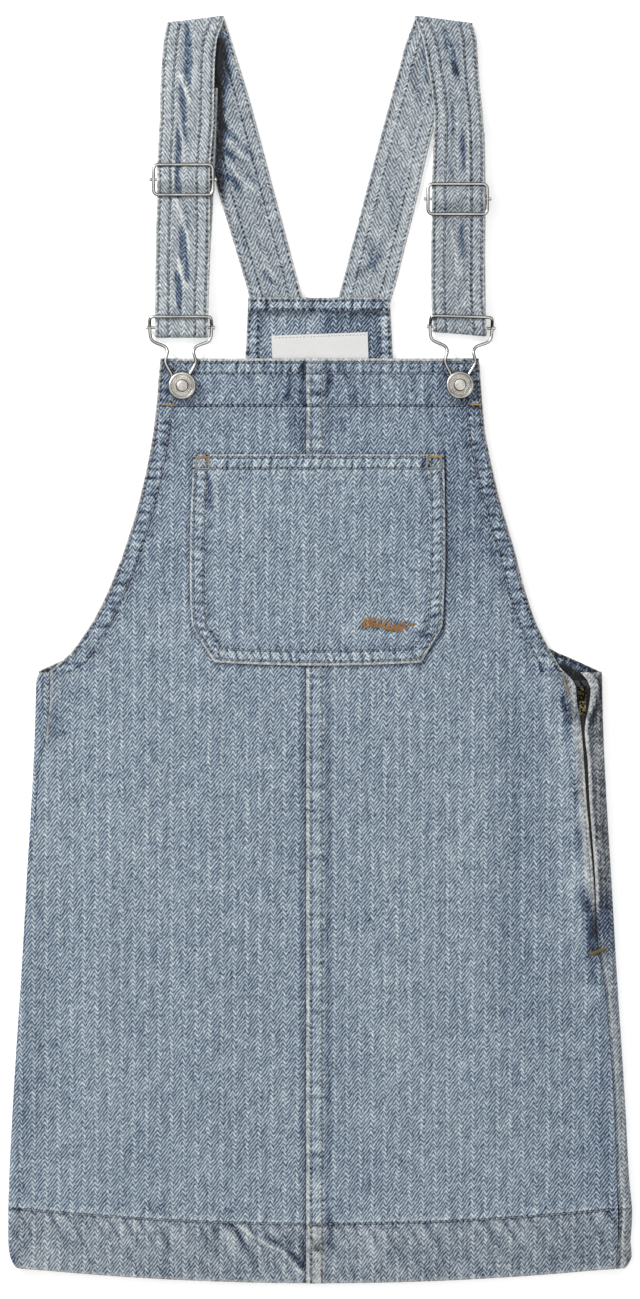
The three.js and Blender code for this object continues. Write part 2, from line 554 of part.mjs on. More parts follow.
// The woven label inside the back bib, stitched a little askew
function label(name, colour) {
  const a = 0.037;
  const place = (u, v) => [0.7 + u * Math.cos(a) - v * Math.sin(a), 187.4 + u * Math.sin(a) + v * Math.cos(a)];
  const grid = [11, -11].map((v) => [-30.3, -10, 10, 30.3].map((u) => {
    const p = place(u, v);
    return { out: [...p, 2.2], in: [...p, 1.6] };
  }));
  return wall(name, grid, colour);
}

const root = new THREE.Group();
root.name = 'pinafore_dress';
root.add(
  frontPanel('front_panel_right', -1, 0x8fa3b8),
  frontPanel('front_panel_left', 1, 0x92a6ba),
  backPanel('back_panel_right', -1, 0x8499b0),
  backPanel('back_panel_left', 1, 0x869bb1),
  backHem('back_top_hem', 0x90a4b8),
  pocket('chest_pocket', 0x9aadbf),
  label('label', 0xf1efe8),
  strap('strap_right', STRAP_RIGHT, 0x93a7ba),
  strap('strap_left', STRAP_LEFT, 0x95a8bb),
  slider('slider_right', -85.5, 295.0, 0xc9c9c9),
  slider('slider_left', 87.2, 282.8, 0xcacaca),
  buckle('buckle_right', -87.2, 202.2, 0, 0xc7c7c7),
  buckle('buckle_left', 89.5, 202.3, -0.03, 0xc8c8c8),
  button('button_right', -86.1, 165.4, 0xbfbfc2),
  button('button_left', 88.7, 165.8, 0xc0c0c3),
  zipTape('zip_tape_front', false, 0x4a5563),
  zipTape('zip_tape_back', true, 0x4b5664),
  zipSlider('zip_slider', 0x7a6338),
  zipPull('zip_pull', 0x80683c),
);

export default root;
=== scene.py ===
import math
import bpy
import numpy as np
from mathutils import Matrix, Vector


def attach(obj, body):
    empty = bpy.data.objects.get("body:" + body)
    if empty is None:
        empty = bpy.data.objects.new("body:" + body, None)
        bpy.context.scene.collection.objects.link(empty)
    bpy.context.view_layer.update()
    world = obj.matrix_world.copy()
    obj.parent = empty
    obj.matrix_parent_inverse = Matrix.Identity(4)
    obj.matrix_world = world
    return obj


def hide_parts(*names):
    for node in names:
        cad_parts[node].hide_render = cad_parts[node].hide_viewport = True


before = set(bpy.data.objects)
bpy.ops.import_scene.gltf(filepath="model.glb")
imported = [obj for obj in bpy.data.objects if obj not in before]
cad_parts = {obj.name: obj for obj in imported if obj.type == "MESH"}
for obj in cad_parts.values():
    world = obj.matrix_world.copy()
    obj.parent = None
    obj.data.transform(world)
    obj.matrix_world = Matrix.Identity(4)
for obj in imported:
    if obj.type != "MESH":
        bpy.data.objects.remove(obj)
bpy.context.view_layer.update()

# Pinafore dress in washed herringbone denim, laid flat. Tables are in millimetres, in the frame of the CAD.
MM = 0.001
CLOTH = 1.3  # one layer of denim
WALL = CLOTH - 0.1  # the same as a wall that stays inside its solid
AIR = 1.3  # between back and front
FOLD_R = 3.2  # outer radius of the side folds
HEM_Y = -400.0
BIB_TOP = 182.0
BACK_TOP = 221.0
BACK_HALF = 44.7  # half width of the back bib's top
SIDE_TOP = -15.0  # top of both side seams
FELL_EDGE = -8.5  # folded edge of the felled centre-front seam
FELL_END = 3.8
POCKET_TOP = 122.3
POCKET_LOW = -8.6
POCKET_CHAMFER = 21.5  # height of the pocket's cut-off corners
CHAMFER_SHEAR = 0.84  # cosine of their slope
STRAP_T = 2.0
STRAP_W = 33.4
RING_Z = 7.85
BUCKLE_BAR_Z = 3.5

# Stitch rows, as distances from an edge
ARM_ROWS = (1.6, 9.8)
BAND_ROWS = (2.6, 9.2)
BAND_FOOT = 28.9  # where the bib's facing is stitched down
POCKET_ROWS = (2.2, 8.5)
MOUTH_ROWS = (2.2, 8.7)
FACING_ROWS = (1.6, 7.4)
BACK_HEM_ROWS = (1.9, 7.4)
STRAP_ROWS = (1.8, 8.3)
HEM_ROW = 37.4
# Across the centre seam, from the middle
SEAM_ROWS = (-5.0, 1.9)


def smooth(t):
    """A step from 0 to 1 with soft ends."""
    t = np.clip(t, 0.0, 1.0)
    return t * t * (3 - 2 * t)


def bell(d, w):
    """A bump of height 1 about d = 0, w wide."""
    return np.exp(-((d / w) ** 2))


def table(rows):
    """Smooth curve through the columns of a short table, read by its first column."""
    a = np.array(rows, float)
    x = a[:, 0]

    def read(col, at):
        y = a[:, col]
        m = np.gradient(y, x)
        at = np.clip(at, x[0], x[-1])
        k = np.clip(np.searchsorted(x, at) - 1, 0, len(x) - 2)
        h = x[k + 1] - x[k]
        t = (at - x[k]) / h
        return ((2 * t**3 - 3 * t**2 + 1) * y[k] + (t**3 - 2 * t**2 + t) * h * m[k]
                + (3 * t**2 - 2 * t**3) * y[k + 1] + (t**3 - t**2) * h * m[k + 1])

    return read


def ripple(s, seed, low=5.5, high=12.0):
    """Uneven waves along a seam, between about -1 and 1."""
    rng = np.random.default_rng(seed)
    out = 0.0
    for _ in range(5):
        out = out + rng.uniform(0.5, 1.0) * np.sin(2 * np.pi * (s / rng.uniform(low, high) + rng.uniform()))
    return out / 2.4


def puffs(s, seed, pitch):
    """A row of puffs with narrow dark nips between them, of uneven width and height."""
    wander = 0.34 * ripple(s, seed, 3.2 * pitch, 8 * pitch)
    hump = np.minimum(1.2 * np.abs(np.cos(np.pi * (s / pitch + wander)))**0.65, 1.0)
    size = 0.72 + 0.34 * ripple(s, seed + 3, 3 * pitch, 9 * pitch)
    return (2 * hump - 1.3) * size


# y, half width at the side folds
folds = table([
    (-400, 190.9), (-398, 192.8), (-395, 194.3), (-391, 195.3), (-385, 195.8), (-370, 195.9), (-316, 194.0),
    (-259, 190.9), (-202, 187.4), (-146, 184.3), (-90, 180.9), (-50, 179.1), (-15, 178.3),
])

# y, front's side edge at the wearer's right, at the wearer's left
edges = table([
    (-400, 190.4, 186.4), (-386, 193.6, 187.7), (-337, 194.7, 187.1), (-286, 191.5, 185.2),
    (-247, 189.4, 182.6), (-204, 186.6, 178.3), (-186, 185.4, 175.4), (-158, 183.3, 173.8),
    (-121, 179.8, 170.7), (-95, 177.7, 168.3), (-72, 175.3, 166.8), (-53, 171.6, 165.4),
    (-43, 170.4, 164.2), (-34, 169.6, 162.4), (-22, 169.4, 160.8), (-18, 169.4, 158.0),
    (-15, 169.3, 154.8), (-12, 166.9, 152.0), (-7, 161.0, 149.0), (0.5, 153.9, 144.6), (8, 148.6, 140.6),
    (15, 143.9, 137.3), (30, 135.8, 131.9), (46, 128.9, 127.3), (61, 123.1, 123.4), (76, 118.3, 119.0),
    (91, 114.0, 114.7), (106, 110.3, 110.9), (121, 107.1, 107.6), (136, 104.6, 104.8),
    (151.5, 102.7, 103.2), (182, 100.2, 100.8),
])

# y, gap between the zip's lips
lips = table([
    (-210, 0.3), (-180, 0.3), (-158, 0.5), (-146, 1.0), (-108, 1.7), (-72, 2.4), (-47, 2.9), (-40, 5.4),
    (-34, 7.8), (-22, 9.3), (-15, 9.6),
])

# distance from the centre, top of the back there
back_top = table([(0, 221), (44.6, 221), (44.8, 218), (46.6, 183), (50, 150), (62, 110), (85, 60), (115, 25),
                  (144.4, 0.5), (162, -7.5), (175.1, -13.5)])

# Soft folds of the skirt and bib: start, end, half width, height, how much they fade or darken (partly worn
# and unfaded dye, partly painted light on the ridges and painted shade beside them)
FOLDS = [
    (156, 0, 171, -200, 8, 1.3, 0.6), (118, 5, 128, -240, 13, -0.6, -0.3),
    (-118, -50, -150, -335, 15, 1.2, 0.1), (52, -150, 66, -372, 20, 0.8, 0.1),
    (-58, -80, -66, -310, 22, 0.7, 0.0), (96, -60, 100, -300, 9, 0.5, 0.08),
    (-96, 30, -60, -60, 16, 0.4, 0.05), (88, 120, 66, -10, 14, 0.35, -0.2),
    (-160, -60, -172, -200, 6, 0.5, 0.1),
    # The hem's creases beside the centre seam
    (-54, -361, -35, -375, 1.0, 1.0, 1.2), (-37, -373.5, -22, -380.5, 1.0, 1.2, 1.1),
    (-24, -379.5, -8.4, -396, 1.1, 1.4, 1.4), (-48, -361, -33, -371.5, 1.3, -0.6, -0.9),
    (-34, -370, -20, -378, 1.5, -0.8, -1.3), (-21, -377.5, -9, -391, 1.7, -0.9, -1.6),
    (-26, -368, -12, -384, 4.0, 0.2, -0.7), (-54, -363, -38, -390, 1.7, -0.5, -0.9),
    (-30, -366, -12, -384, 2.2, 0.4, 0.6), (-62, -364, -50, -386, 2.6, 0.4, 0.6),
    (-75, -364, -64, -384, 2.6, -0.4, -0.5), (-90, -364, -80, -386, 2.8, 0.3, 0.4),
    (-101, -363, -92, -380, 2.4, -0.3, -0.5), (26, -364, 38, -388, 3.0, 0.4, 0.5),
    (44, -364, 54, -386, 2.6, -0.4, -0.6), (92, -364, 104, -388, 3.0, 0.4, 0.4),
    (128, -364, 140, -386, 3.0, 0.4, 0.4),
    # Beside the zip
    (154, -27, 160, -50, 3.6, -0.5, -2.1), (160, -76, 162.5, -100, 1.1, -0.5, -1.3),
    (162, -112, 166, -128, 1.9, -0.4, -1.0), (164.5, -150, 169.5, -164, 3.0, -0.6, -1.5),
    (168.4, -156, 172.2, -193, 3.3, -0.9, -2.1), (176, -160, 174, -186, 2.6, 0.4, -1.2),
    (162, -130, 166, -160, 1.4, 0.4, 0.7), (162, -56, 165, -92, 2.0, -0.3, -0.9),
]
# Deeper and lighter dye: start, end, half width, how much
DYE = [
    (-11.3, 180, -11.0, 168, 2.2, -1.2), (-11.3, 164, -11.8, 152, 2.0, -1.1),
    (-17.6, 177, -20, 157, 1.7, -1.1), (-4, 161, 7, 161, 3.2, -1.1), (4.6, 180, 7, 164, 2.0, -1.3),
    (15, 182, 18, 164, 1.5, -0.9), (-23, 160, -17, 156, 2.4, -1.0), (17, 160, 25, 156, 2.6, -0.8),
    (-14.5, 151, -12, 124, 5.0, -0.75), (8, 152, 16, 134, 5.0, -0.55), (-98, 158, -90, 170, 3.0, -0.8),
    (70, 178, 96, 160, 4, -0.5), (-40, 176, -30, 158, 3.5, 0.5), (40, 178, 48, 158, 4, 0.5),
    (-64, 178, -58, 158, 3, 0.4), (62, 178, 66, 160, 3, 0.4), (-67, -363, -61, -368, 2.6, -1.3),
    (-61, -362.5, -54, -365, 2.0, -1.4), (5.4, -359.5, 10.6, -363.5, 2.4, -1.6),
    (-111, -350, -96, -356, 3.4, -0.8), (-59, -352, -55, -358, 2.6, -1.0),
    (-10, -368, -10, -392, 1.2, -1.0), (7.4, -362, 8.6, -379, 2.2, -1.3),
    (-4, -375.5, 4, -376.5, 2.6, -1.5), (-1.5, -362, -1.5, -373, 5.0, 0.5), (-1, -380, -1, -399, 6.0, 0.4),
    (-176, -368, -171, -392, 9, 0.45), (-171, -60, -176, -160, 8, 0.25), (161, -212, 173, -226, 7, 0.5),
    (171, -199, 174.5, -213, 2.2, -0.7), (167.2, -194, 172, -198, 1.6, -1.4),
    (171, -198.2, 180, -196.4, 1.7, -1.5), (169, -191.5, 180, -189.5, 2.4, -1.2),
    (-11, -20, -11, -352, 1.1, -0.6), (6.5, -20, 6.5, -352, 1.4, -0.35), (-150, 10, -128, 48, 4.5, -0.35),
    (148, -6, 128, 36, 6, -0.6), (-172, -30, -168, -60, 6, -0.4), (150, -8, 158, -24, 3.5, -0.9),
    (176, -200, 184, -380, 5, -0.35), (-184, -250, -190, -390, 3.5, -0.3),
]


def fold_line(x, y, x0, y0, x1, y1, w):
    """A rounded, slightly wandering ridge from one point to another, w wide."""
    dx, dy = x1 - x0, y1 - y0
    t = ((x - x0) * dx + (y - y0) * dy) / (dx * dx + dy * dy)
    off = ((x - x0) * dy - (y - y0) * dx) / math.hypot(dx, dy)
    wander = 0.25 * w * np.sin(t * 7.0 + x0)
    end = 0.22 + 0.5 * w / math.hypot(dx, dy)
    return bell(off + wander, w) * smooth((t + 0.3 * end) / end) * smooth((1 + 0.3 * end - t) / end)


def creases(x, y):
    """Height of the soft folds."""
    return sum(h * fold_line(x, y, a, b, c, d, w) for a, b, c, d, w, h, _ in FOLDS)


def fading_and_fold_shade(x, y):
    """How much lighter or darker a point of the front is: its dye, with painted light and shade on the folds.
    """
    return (sum(g * fold_line(x, y, a, b, c, d, w * 1.1) for a, b, c, d, w, _, g in FOLDS)
            + sum(g * fold_line(x, y, a, b, c, d, w) for a, b, c, d, w, g in DYE))


def fold_x(y):
    """Half width of the laid dress at its side folds."""
    return folds(1, y)


def hem_rise(x, y):
    """How far the hem curves up away from the centre."""
    return (8.2 * (x / 174) ** 2 * smooth((-150 - y) / 212)
            + 1.2 * np.clip((np.abs(x) - 190) / 5, 0, 1) ** 2 * smooth((-388 - y) / 12))


def top_z(x, y):
    """Height of the front's outer face, without seams and hems."""
    middle = 2 * CLOTH + AIR + creases(x, y)
    side = smooth((30 - y) / 45)
    near = 1 - smooth((fold_x(y) - FOLD_R - np.abs(x)) / 18)
    return np.minimum(middle + (2 * FOLD_R - middle) * side * near, 2 * FOLD_R + 0.4)


def section(sign, s, y):
    """Outer point and normal of the laid tube at arc length s from the top of a side fold."""
    xf = fold_x(y) - FOLD_R
    a = np.clip(s / FOLD_R, 0, np.pi)
    x = xf + np.minimum(s, 0) + FOLD_R * np.sin(a) - np.maximum(s - np.pi * FOLD_R, 0)
    z = np.where(s <= 0, top_z(sign * x, y), FOLD_R + FOLD_R * np.cos(a))
    nx = np.where(s <= 0, 0.0, np.sin(a))
    nz = np.where(s <= 0, 1.0, np.cos(a))
    return sign * x, z, sign * nx, nz


def front_end(sign, y):
    """Arc length of the front's side edge."""
    off = edges(1 if sign < 0 else 2, y) - (fold_x(y) - FOLD_R)
    return np.where(off <= 0, off, FOLD_R * np.arcsin(np.clip(off / FOLD_R, 0, 0.98)))


def slant(sign, y):
    """Cosine of the armhole edge's slope, so that its hem keeps its width."""
    col = 1 if sign < 0 else 2
    d = (edges(col, y + 1) - edges(col, y - 1)) / 2
    return np.where(y > SIDE_TOP - 2, 1 / np.sqrt(1 + d * d), 1.0)


class Marks:
    """What the denim's colour follows: nearest edge, way along it, stitch rows, puckers, fading with painted
    shade, and grey.
    """

    def __init__(self, like):
        self.edge = np.full_like(like, 60.0)
        self.along = np.zeros_like(like)
        self.row = np.full_like(like, 60.0)
        self.rope = np.zeros_like(like)
        self.fade = np.zeros_like(like)
        self.grey = np.zeros_like(like)

    def near(self, d, s, rows, rope):
        self.along = np.where(d < self.edge, s, self.along)
        self.edge = np.minimum(self.edge, np.maximum(d, 0))
        for row in rows:
            self.row = np.minimum(self.row, np.abs(d - row))
        self.rope += rope

    def out(self):
        return {"edge": self.edge, "along": self.along, "row": self.row, "rope": self.rope, "fade": self.fade,
                "grey": self.grey}


def turned(d, s, rows, seed, lift=0.45, puff=0.38, pitch=5.6, lean=0.1, tail=7.0):
    """Relief of a turned and twice stitched hem, from the distance to its edge and the way along it."""
    first, last = rows[0], rows[-1]
    between = smooth((d - first + 1.0) / 1.4) * smooth((last + 1.2 - d) / 1.6)
    beyond = smooth((d - last) / 1.2) * (1 - smooth((d - last) / tail))
    rope = puffs(s + lean * d, seed, pitch)
    drag = puffs(s - 1.4 * lean * d, seed + 7, pitch * 1.7)
    pull = rope * (0.25 + 0.75 * between) * smooth(d / 1.0) * smooth((last + 1.6 - d) / 1.6)
    pull += 0.4 * drag * beyond
    dz = lift * smooth((last + 1.3 - d) / 1.1) + puff * pull - 0.5 * bell(d, 0.5)
    for row in rows:
        dz -= 0.22 * bell(d - row, 0.6)
    return dz, pull


def front_relief(sign, x, y, e, base):
    """Relief over the front's plain surface, and its marks."""
    m = Marks(x)
    d_arm = np.where(base > SIDE_TOP - 2, e * slant(sign, base), 60.0)
    lead = smooth((base - SIDE_TOP + 2) / 6)
    z, p = turned(d_arm, base * 1.12, ARM_ROWS, 11 + sign, 0.45, 0.4, 6.2)
    dz = z * lead
    m.near(d_arm, base * 1.12, ARM_ROWS, p * lead)
    d_top = BIB_TOP - base
    keep = np.where(d_arm < 10.3, 0.35, 1.0)
    z, p = turned(d_top, x, BAND_ROWS, 21, 0.0, 0.36, 6.2, 0.12, 14.0)
    lower = puffs(x + 0.7 * d_top, 27, 7.5) * bell(d_top - 26, 5) * smooth((29.5 - d_top) / 1.0)
    band = 0.5 * smooth((BAND_FOOT + 0.5 - d_top) / 0.9) - 0.22 * bell(d_top - BAND_FOOT, 0.6)
    dz += keep * (z + band + 0.22 * lower)
    m.near(d_top + 400 * (d_arm < 1), x + 300, BAND_ROWS + (BAND_FOOT,), (0.8 * p + 0.45 * lower) * keep)
    d_hem = base - HEM_Y
    folds_in = (puffs(x + 0.62 * d_hem, 31, 9.5) * bell(d_hem - 34, 13) * smooth((38.2 - d_hem) / 1.0)
                + 0.5 * puffs(x, 37, 6.5) * bell(d_hem, 5))
    above = puffs(x - 0.5 * d_hem, 34, 8.5) * bell(d_hem - 38.5, 5) * smooth((d_hem - HEM_ROW) / 1.2)
    dz += 0.4 * smooth((HEM_ROW + 0.9 - d_hem) / 0.9) + 0.28 * folds_in + 0.2 * above
    dz = dz - 0.25 * bell(d_hem - HEM_ROW, 0.7) - 0.5 * bell(d_hem, 0.5)
    m.near(d_hem, x + 900, (HEM_ROW,), 0.6 * folds_in + 0.5 * above)
    puck = puffs(y, 41, 7.5)
    if sign > 0:
        fell = smooth((x - FELL_EDGE + 0.1) / 0.4) * smooth((FELL_END + 0.6 - x) / 1.2)
        dz += fell * (0.75 + 0.2 * puck) - 0.35 * bell(x - FELL_EDGE, 0.4)
        for row in SEAM_ROWS:
            dz -= 0.2 * bell(x - row, 0.6) * fell
        m.near(np.abs(x - FELL_EDGE - 1.2) + 0.9 + 60 * (x > FELL_END), y + 1300, (), fell * puck * 0.55)
        for row in SEAM_ROWS:
            m.row = np.minimum(m.row, np.abs(x - row))
        m.fade += 0.25 * fell - 0.5 * bell(x - FELL_END - 2.0, 1.4) - 1.4 * bell(x - FELL_EDGE, 0.6)
        m.grey += 0.5 * fell * smooth((38 - d_hem) / 2)
        zone = smooth((-14 - y) / 10) * smooth((y + 165) / 20)
        lip = zone * smooth((6.2 - e) / 1.8)
        m.fade += lip * (0.25 - 0.8 * bell(e, 0.8))
        m.fade -= zone * (0.55 * bell(e - 8.4, 2.2) - 0.25 * bell(e - 17, 6))
        m.fade += lip * smooth((y + 54) / 8) * (puffs(y + 0.6 * e, 47, 4.2) - 0.5)
        m.fade -= 0.15 * smooth((x - 100) / 60)
        m.grey += 0.7 * lip
        # The closed seam below the zip's lips
        m.fade -= 1.6 * bell(e - 0.1, 0.8) * smooth((-146 - y) / 10) * smooth((y + 198) / 8)
        m.near(np.where((base < SIDE_TOP) & (base > -172), np.maximum(e, 0), 60.0), y + 1700, (), 0)
    else:
        dz -= 0.3 * bell(x - FELL_EDGE, 1.6)
        m.fade = m.fade - 0.6 * bell(x - FELL_EDGE, 1.7) - 0.2 * bell(x - FELL_EDGE, 4.5)
        m.near(np.where((base < SIDE_TOP) & (base > -60), np.maximum(e, 0) + 0.4, 60.0), y + 1700, (), 0)
    m.fade += fading_and_fold_shade(x, y) - 0.45 * bell(d_arm - 12.6, 1.8) * lead - 0.25 * bell(d_top - 31.5, 1.2)
    # The bib is a little darker than the skirt, most at its hems and at the wearer's left
    bib = smooth((base - 10) / 60)
    m.fade = m.fade - bib * (0.18 + 0.28 * smooth((x - 40) / 50)) - 0.45 * smooth((11 - d_arm) / 2) * lead
    # Pale worn edges
    m.fade += 0.9 * bell(d_top - 0.7, 1.2) + 0.5 * bell(d_arm - 0.5, 0.9) * lead
    m.grey += 0.7 * bell(d_top - 0.7, 1.3) + 0.4 * bell(d_arm - 0.5, 0.9) * lead
    # The facing and the hem are darker, with a pale and a dark line at the hem's row
    m.fade -= 0.28 * smooth((30 - d_top) / 2)
    m.fade -= (0.14 + 0.12 * smooth(x / 60)) * smooth((38 - d_hem) / 2)
    m.fade += 0.55 * bell(d_hem - HEM_ROW - 1.9, 0.8) - 0.4 * bell(d_hem - HEM_ROW + 1.0, 1.0)
    m.grey += 0.3 * smooth((38 - d_hem) / 2)
    # The pocket's shadow on the bib, deepest at its right edge
    out_l, out_r = pocket_side(1, y) - x, x - pocket_side(2, y)
    out = np.maximum(np.maximum(out_l, out_r), np.maximum(POCKET_LOW - 1.5 - y, y - POCKET_TOP))
    m.fade -= 0.65 * smooth((3.2 - out) / 3.2)
    m.fade -= 1.2 * bell(out_r - 0.6, 0.9) * (out > -0.5) * (out < 3)
    return dz, m


# y, left and right edge of the chest pocket
pocket_side = table([
    (-8.6, -65.6, 64.2), (-7.2, -66.9, 65.2), (-0.9, -71.2, 69.0), (5.4, -75.2, 72.9), (11.7, -78.9, 76.6),
    (13.6, -79.6, 77.4), (18, -80.4, 77.9), (24.3, -80.9, 78.2), (36.9, -81.3, 78.8), (56, -81.4, 79.4),
    (81, -81.0, 79.4), (106, -79.8, 79.0), (122.3, -79.1, 78.6),
])


def deselect():
    """Leave no object selected."""
    bpy.ops.object.select_all(action="DESELECT")


def pick(ob):
    """Make an object the only one that is selected, and the active one."""
    deselect()
    ob.select_set(True)
    bpy.context.view_layer.objects.active = ob


def linked(name, data):
    """A new object in the scene."""
    ob = bpy.data.objects.new(name, data)
    bpy.context.collection.objects.link(ob)
    return ob


def vectors(items, key):
    """A property of all items of a mesh as rows of three."""
    out = np.empty(len(items) * 3)
    items.foreach_get(key, out)
    return out.reshape(-1, 3)


def uv_map(mesh, name, u, v):
    """A map with one place for each vertex."""
    layer = mesh.uv_layers.new(name=name)
    loops = np.empty(len(mesh.loops), np.int32)
    mesh.loops.foreach_get("vertex_index", loops)
    layer.data.foreach_set("uv", np.stack([u[loops], v[loops]], 1).astype(np.float32).ravel())


def value(mesh, name, values):
    """A number for each vertex, which a material can read."""
    mesh.attributes.new(name, "FLOAT", "POINT").data.foreach_set("value", values.astype(np.float32))


def cloth(name, cols, rows, lay, thickness, up=True):
    """A grid laid by lay(column, row), then given its thickness inwards."""
    deselect()
    bpy.ops.mesh.primitive_grid_add(x_subdivisions=cols - 1, y_subdivisions=rows - 1, size=2)
    ob = bpy.context.object
    ob.name = ob.data.name = name
    mesh = ob.data
    co = vectors(mesh.vertices, "co")
    i = np.rint((co[:, 0] + 1) / 2 * (cols - 1)).astype(int)
    j = np.rint((co[:, 1] + 1) / 2 * (rows - 1)).astype(int)
    xyz, weave, marks = lay(i, j)
    mesh.vertices.foreach_set("co", (np.stack(xyz, 1) * MM).ravel())
    while mesh.uv_layers:
        mesh.uv_layers.remove(mesh.uv_layers[0])
    uv_map(mesh, "weave", weave[0] * MM, weave[1] * MM)
    for key, values in marks.items():
        value(mesh, key, values)
    mesh.update()
    if (vectors(mesh.polygons, "normal")[:, 2].sum() > 0) != up:
        mesh.flip_normals()
    wall = ob.modifiers.new("wall", "SOLIDIFY")
    wall.thickness = thickness * MM
    wall.offset = -1
    bpy.ops.object.modifier_apply(modifier="wall")
    bpy.ops.object.shade_smooth_by_angle(angle=math.radians(55))
    return ob


def spread(start, stop, step):
    """Even grid lines, about a step apart, with both ends."""
    return np.linspace(start, stop, max(2, int(round(abs(stop - start) / step)) + 1))


def fine(rows):
    """Grid lines close together about stitch rows."""
    return [r + 1.2 * k for r in rows for k in (-1, -0.5, 0, 0.5, 1)]


# Rows of the front from hem to bib, closer together at hems and stitching
FRONT_Y = np.unique(np.concatenate([
    [-400, -399.6, -399, -398, -396.6], spread(-395, -365, 1.1), fine([HEM_Y + HEM_ROW]), [-361, -359.5],
    spread(-358, -346, 2.0), spread(-343, -18, 3.0), spread(-15, 149, 1.8), fine([BIB_TOP - BAND_FOOT]),
    spread(155.2, 170.6, 1.6), fine([BIB_TOP - 9.2, BIB_TOP - 2.6]), [174.8, 176.3, 181, 181.4, 181.8, 182],
]))
NEAR_EDGE = [
    19, 17, 15, 13.4, 12.2, 11.2, 10.4, 9.8, 9.2, 8.6, 7.4, 6.0, 4.6, 3.4, 2.8, 2.2, 1.6, 1.0, 0.5, 0.2, 0,
]


def centre_edge(sign):
    """X of a front panel's edge at the centre seam."""
    return FELL_EDGE if sign > 0 else FELL_EDGE - 0.3


def front_columns(sign):
    """Columns as (share of the way, offset from the centre edge, distance from the side edge)."""
    start = [0, 0.6, 1.6, 3.2, 5]
    if sign > 0:
        start = [0, 0.3, 0.7, 1.6, 2.5, 3.0, 3.5, 4.0, 5.0, 6.6, 8.2, 9.4, 9.9, 10.4, 10.9, 11.6, 12.4,
                 13.0, 14.2]
    cols = [(0.0, c, 0.0) for c in start]
    cols += [(f, start[-1], NEAR_EDGE[0]) for f in np.linspace(0, 1, 112)[1:-1]]
    cols += [(1.0, 0.0, e) for e in NEAR_EDGE]
    return np.array(cols)


def front_point(sign, share, inset, dist, base):
    """Surface point, marks and normal of a front panel."""
    xf = fold_x(base) - FOLD_R
    start = centre_edge(sign) * sign + inset - xf
    end = front_end(sign, base)
    reach = dist / slant(sign, base)
    s = (1 - share) * start + share * (end - reach)
    x, z, nx, nz = section(sign, s, base)
    y = base + hem_rise(x, base) + 0.8 * smooth((base - 150) / 30)
    dz, marks = front_relief(sign, x, y, end - s, base)
    return (x + nx * dz, y, z + nz * dz), marks, (nx, 0 * nx, nz)


def front_panel(name, sign):
    """The front at one side of the centre seam."""
    cols = front_columns(sign)

    def lay(i, j):
        xyz, marks, _ = front_point(sign, cols[i, 0], cols[i, 1], cols[i, 2], FRONT_Y[j])
        return xyz, (xyz[0], xyz[1]), marks.out()

    return cloth(name, len(cols), len(FRONT_Y), lay, WALL)


# Columns of the back: across its flat part, then down the outside of the side fold
BACK_X = np.unique(np.concatenate([
    [0.15], spread(3, 42, 5), [43.5, 44.3, 44.7, 45.2, 45.9, 46.6, 48, 50, 53, 57], spread(62, 172, 5.5),
    [174, 175.1],
]))
BACK_TURN = np.linspace(1, 0.5, 9)[1:] * np.pi * FOLD_R


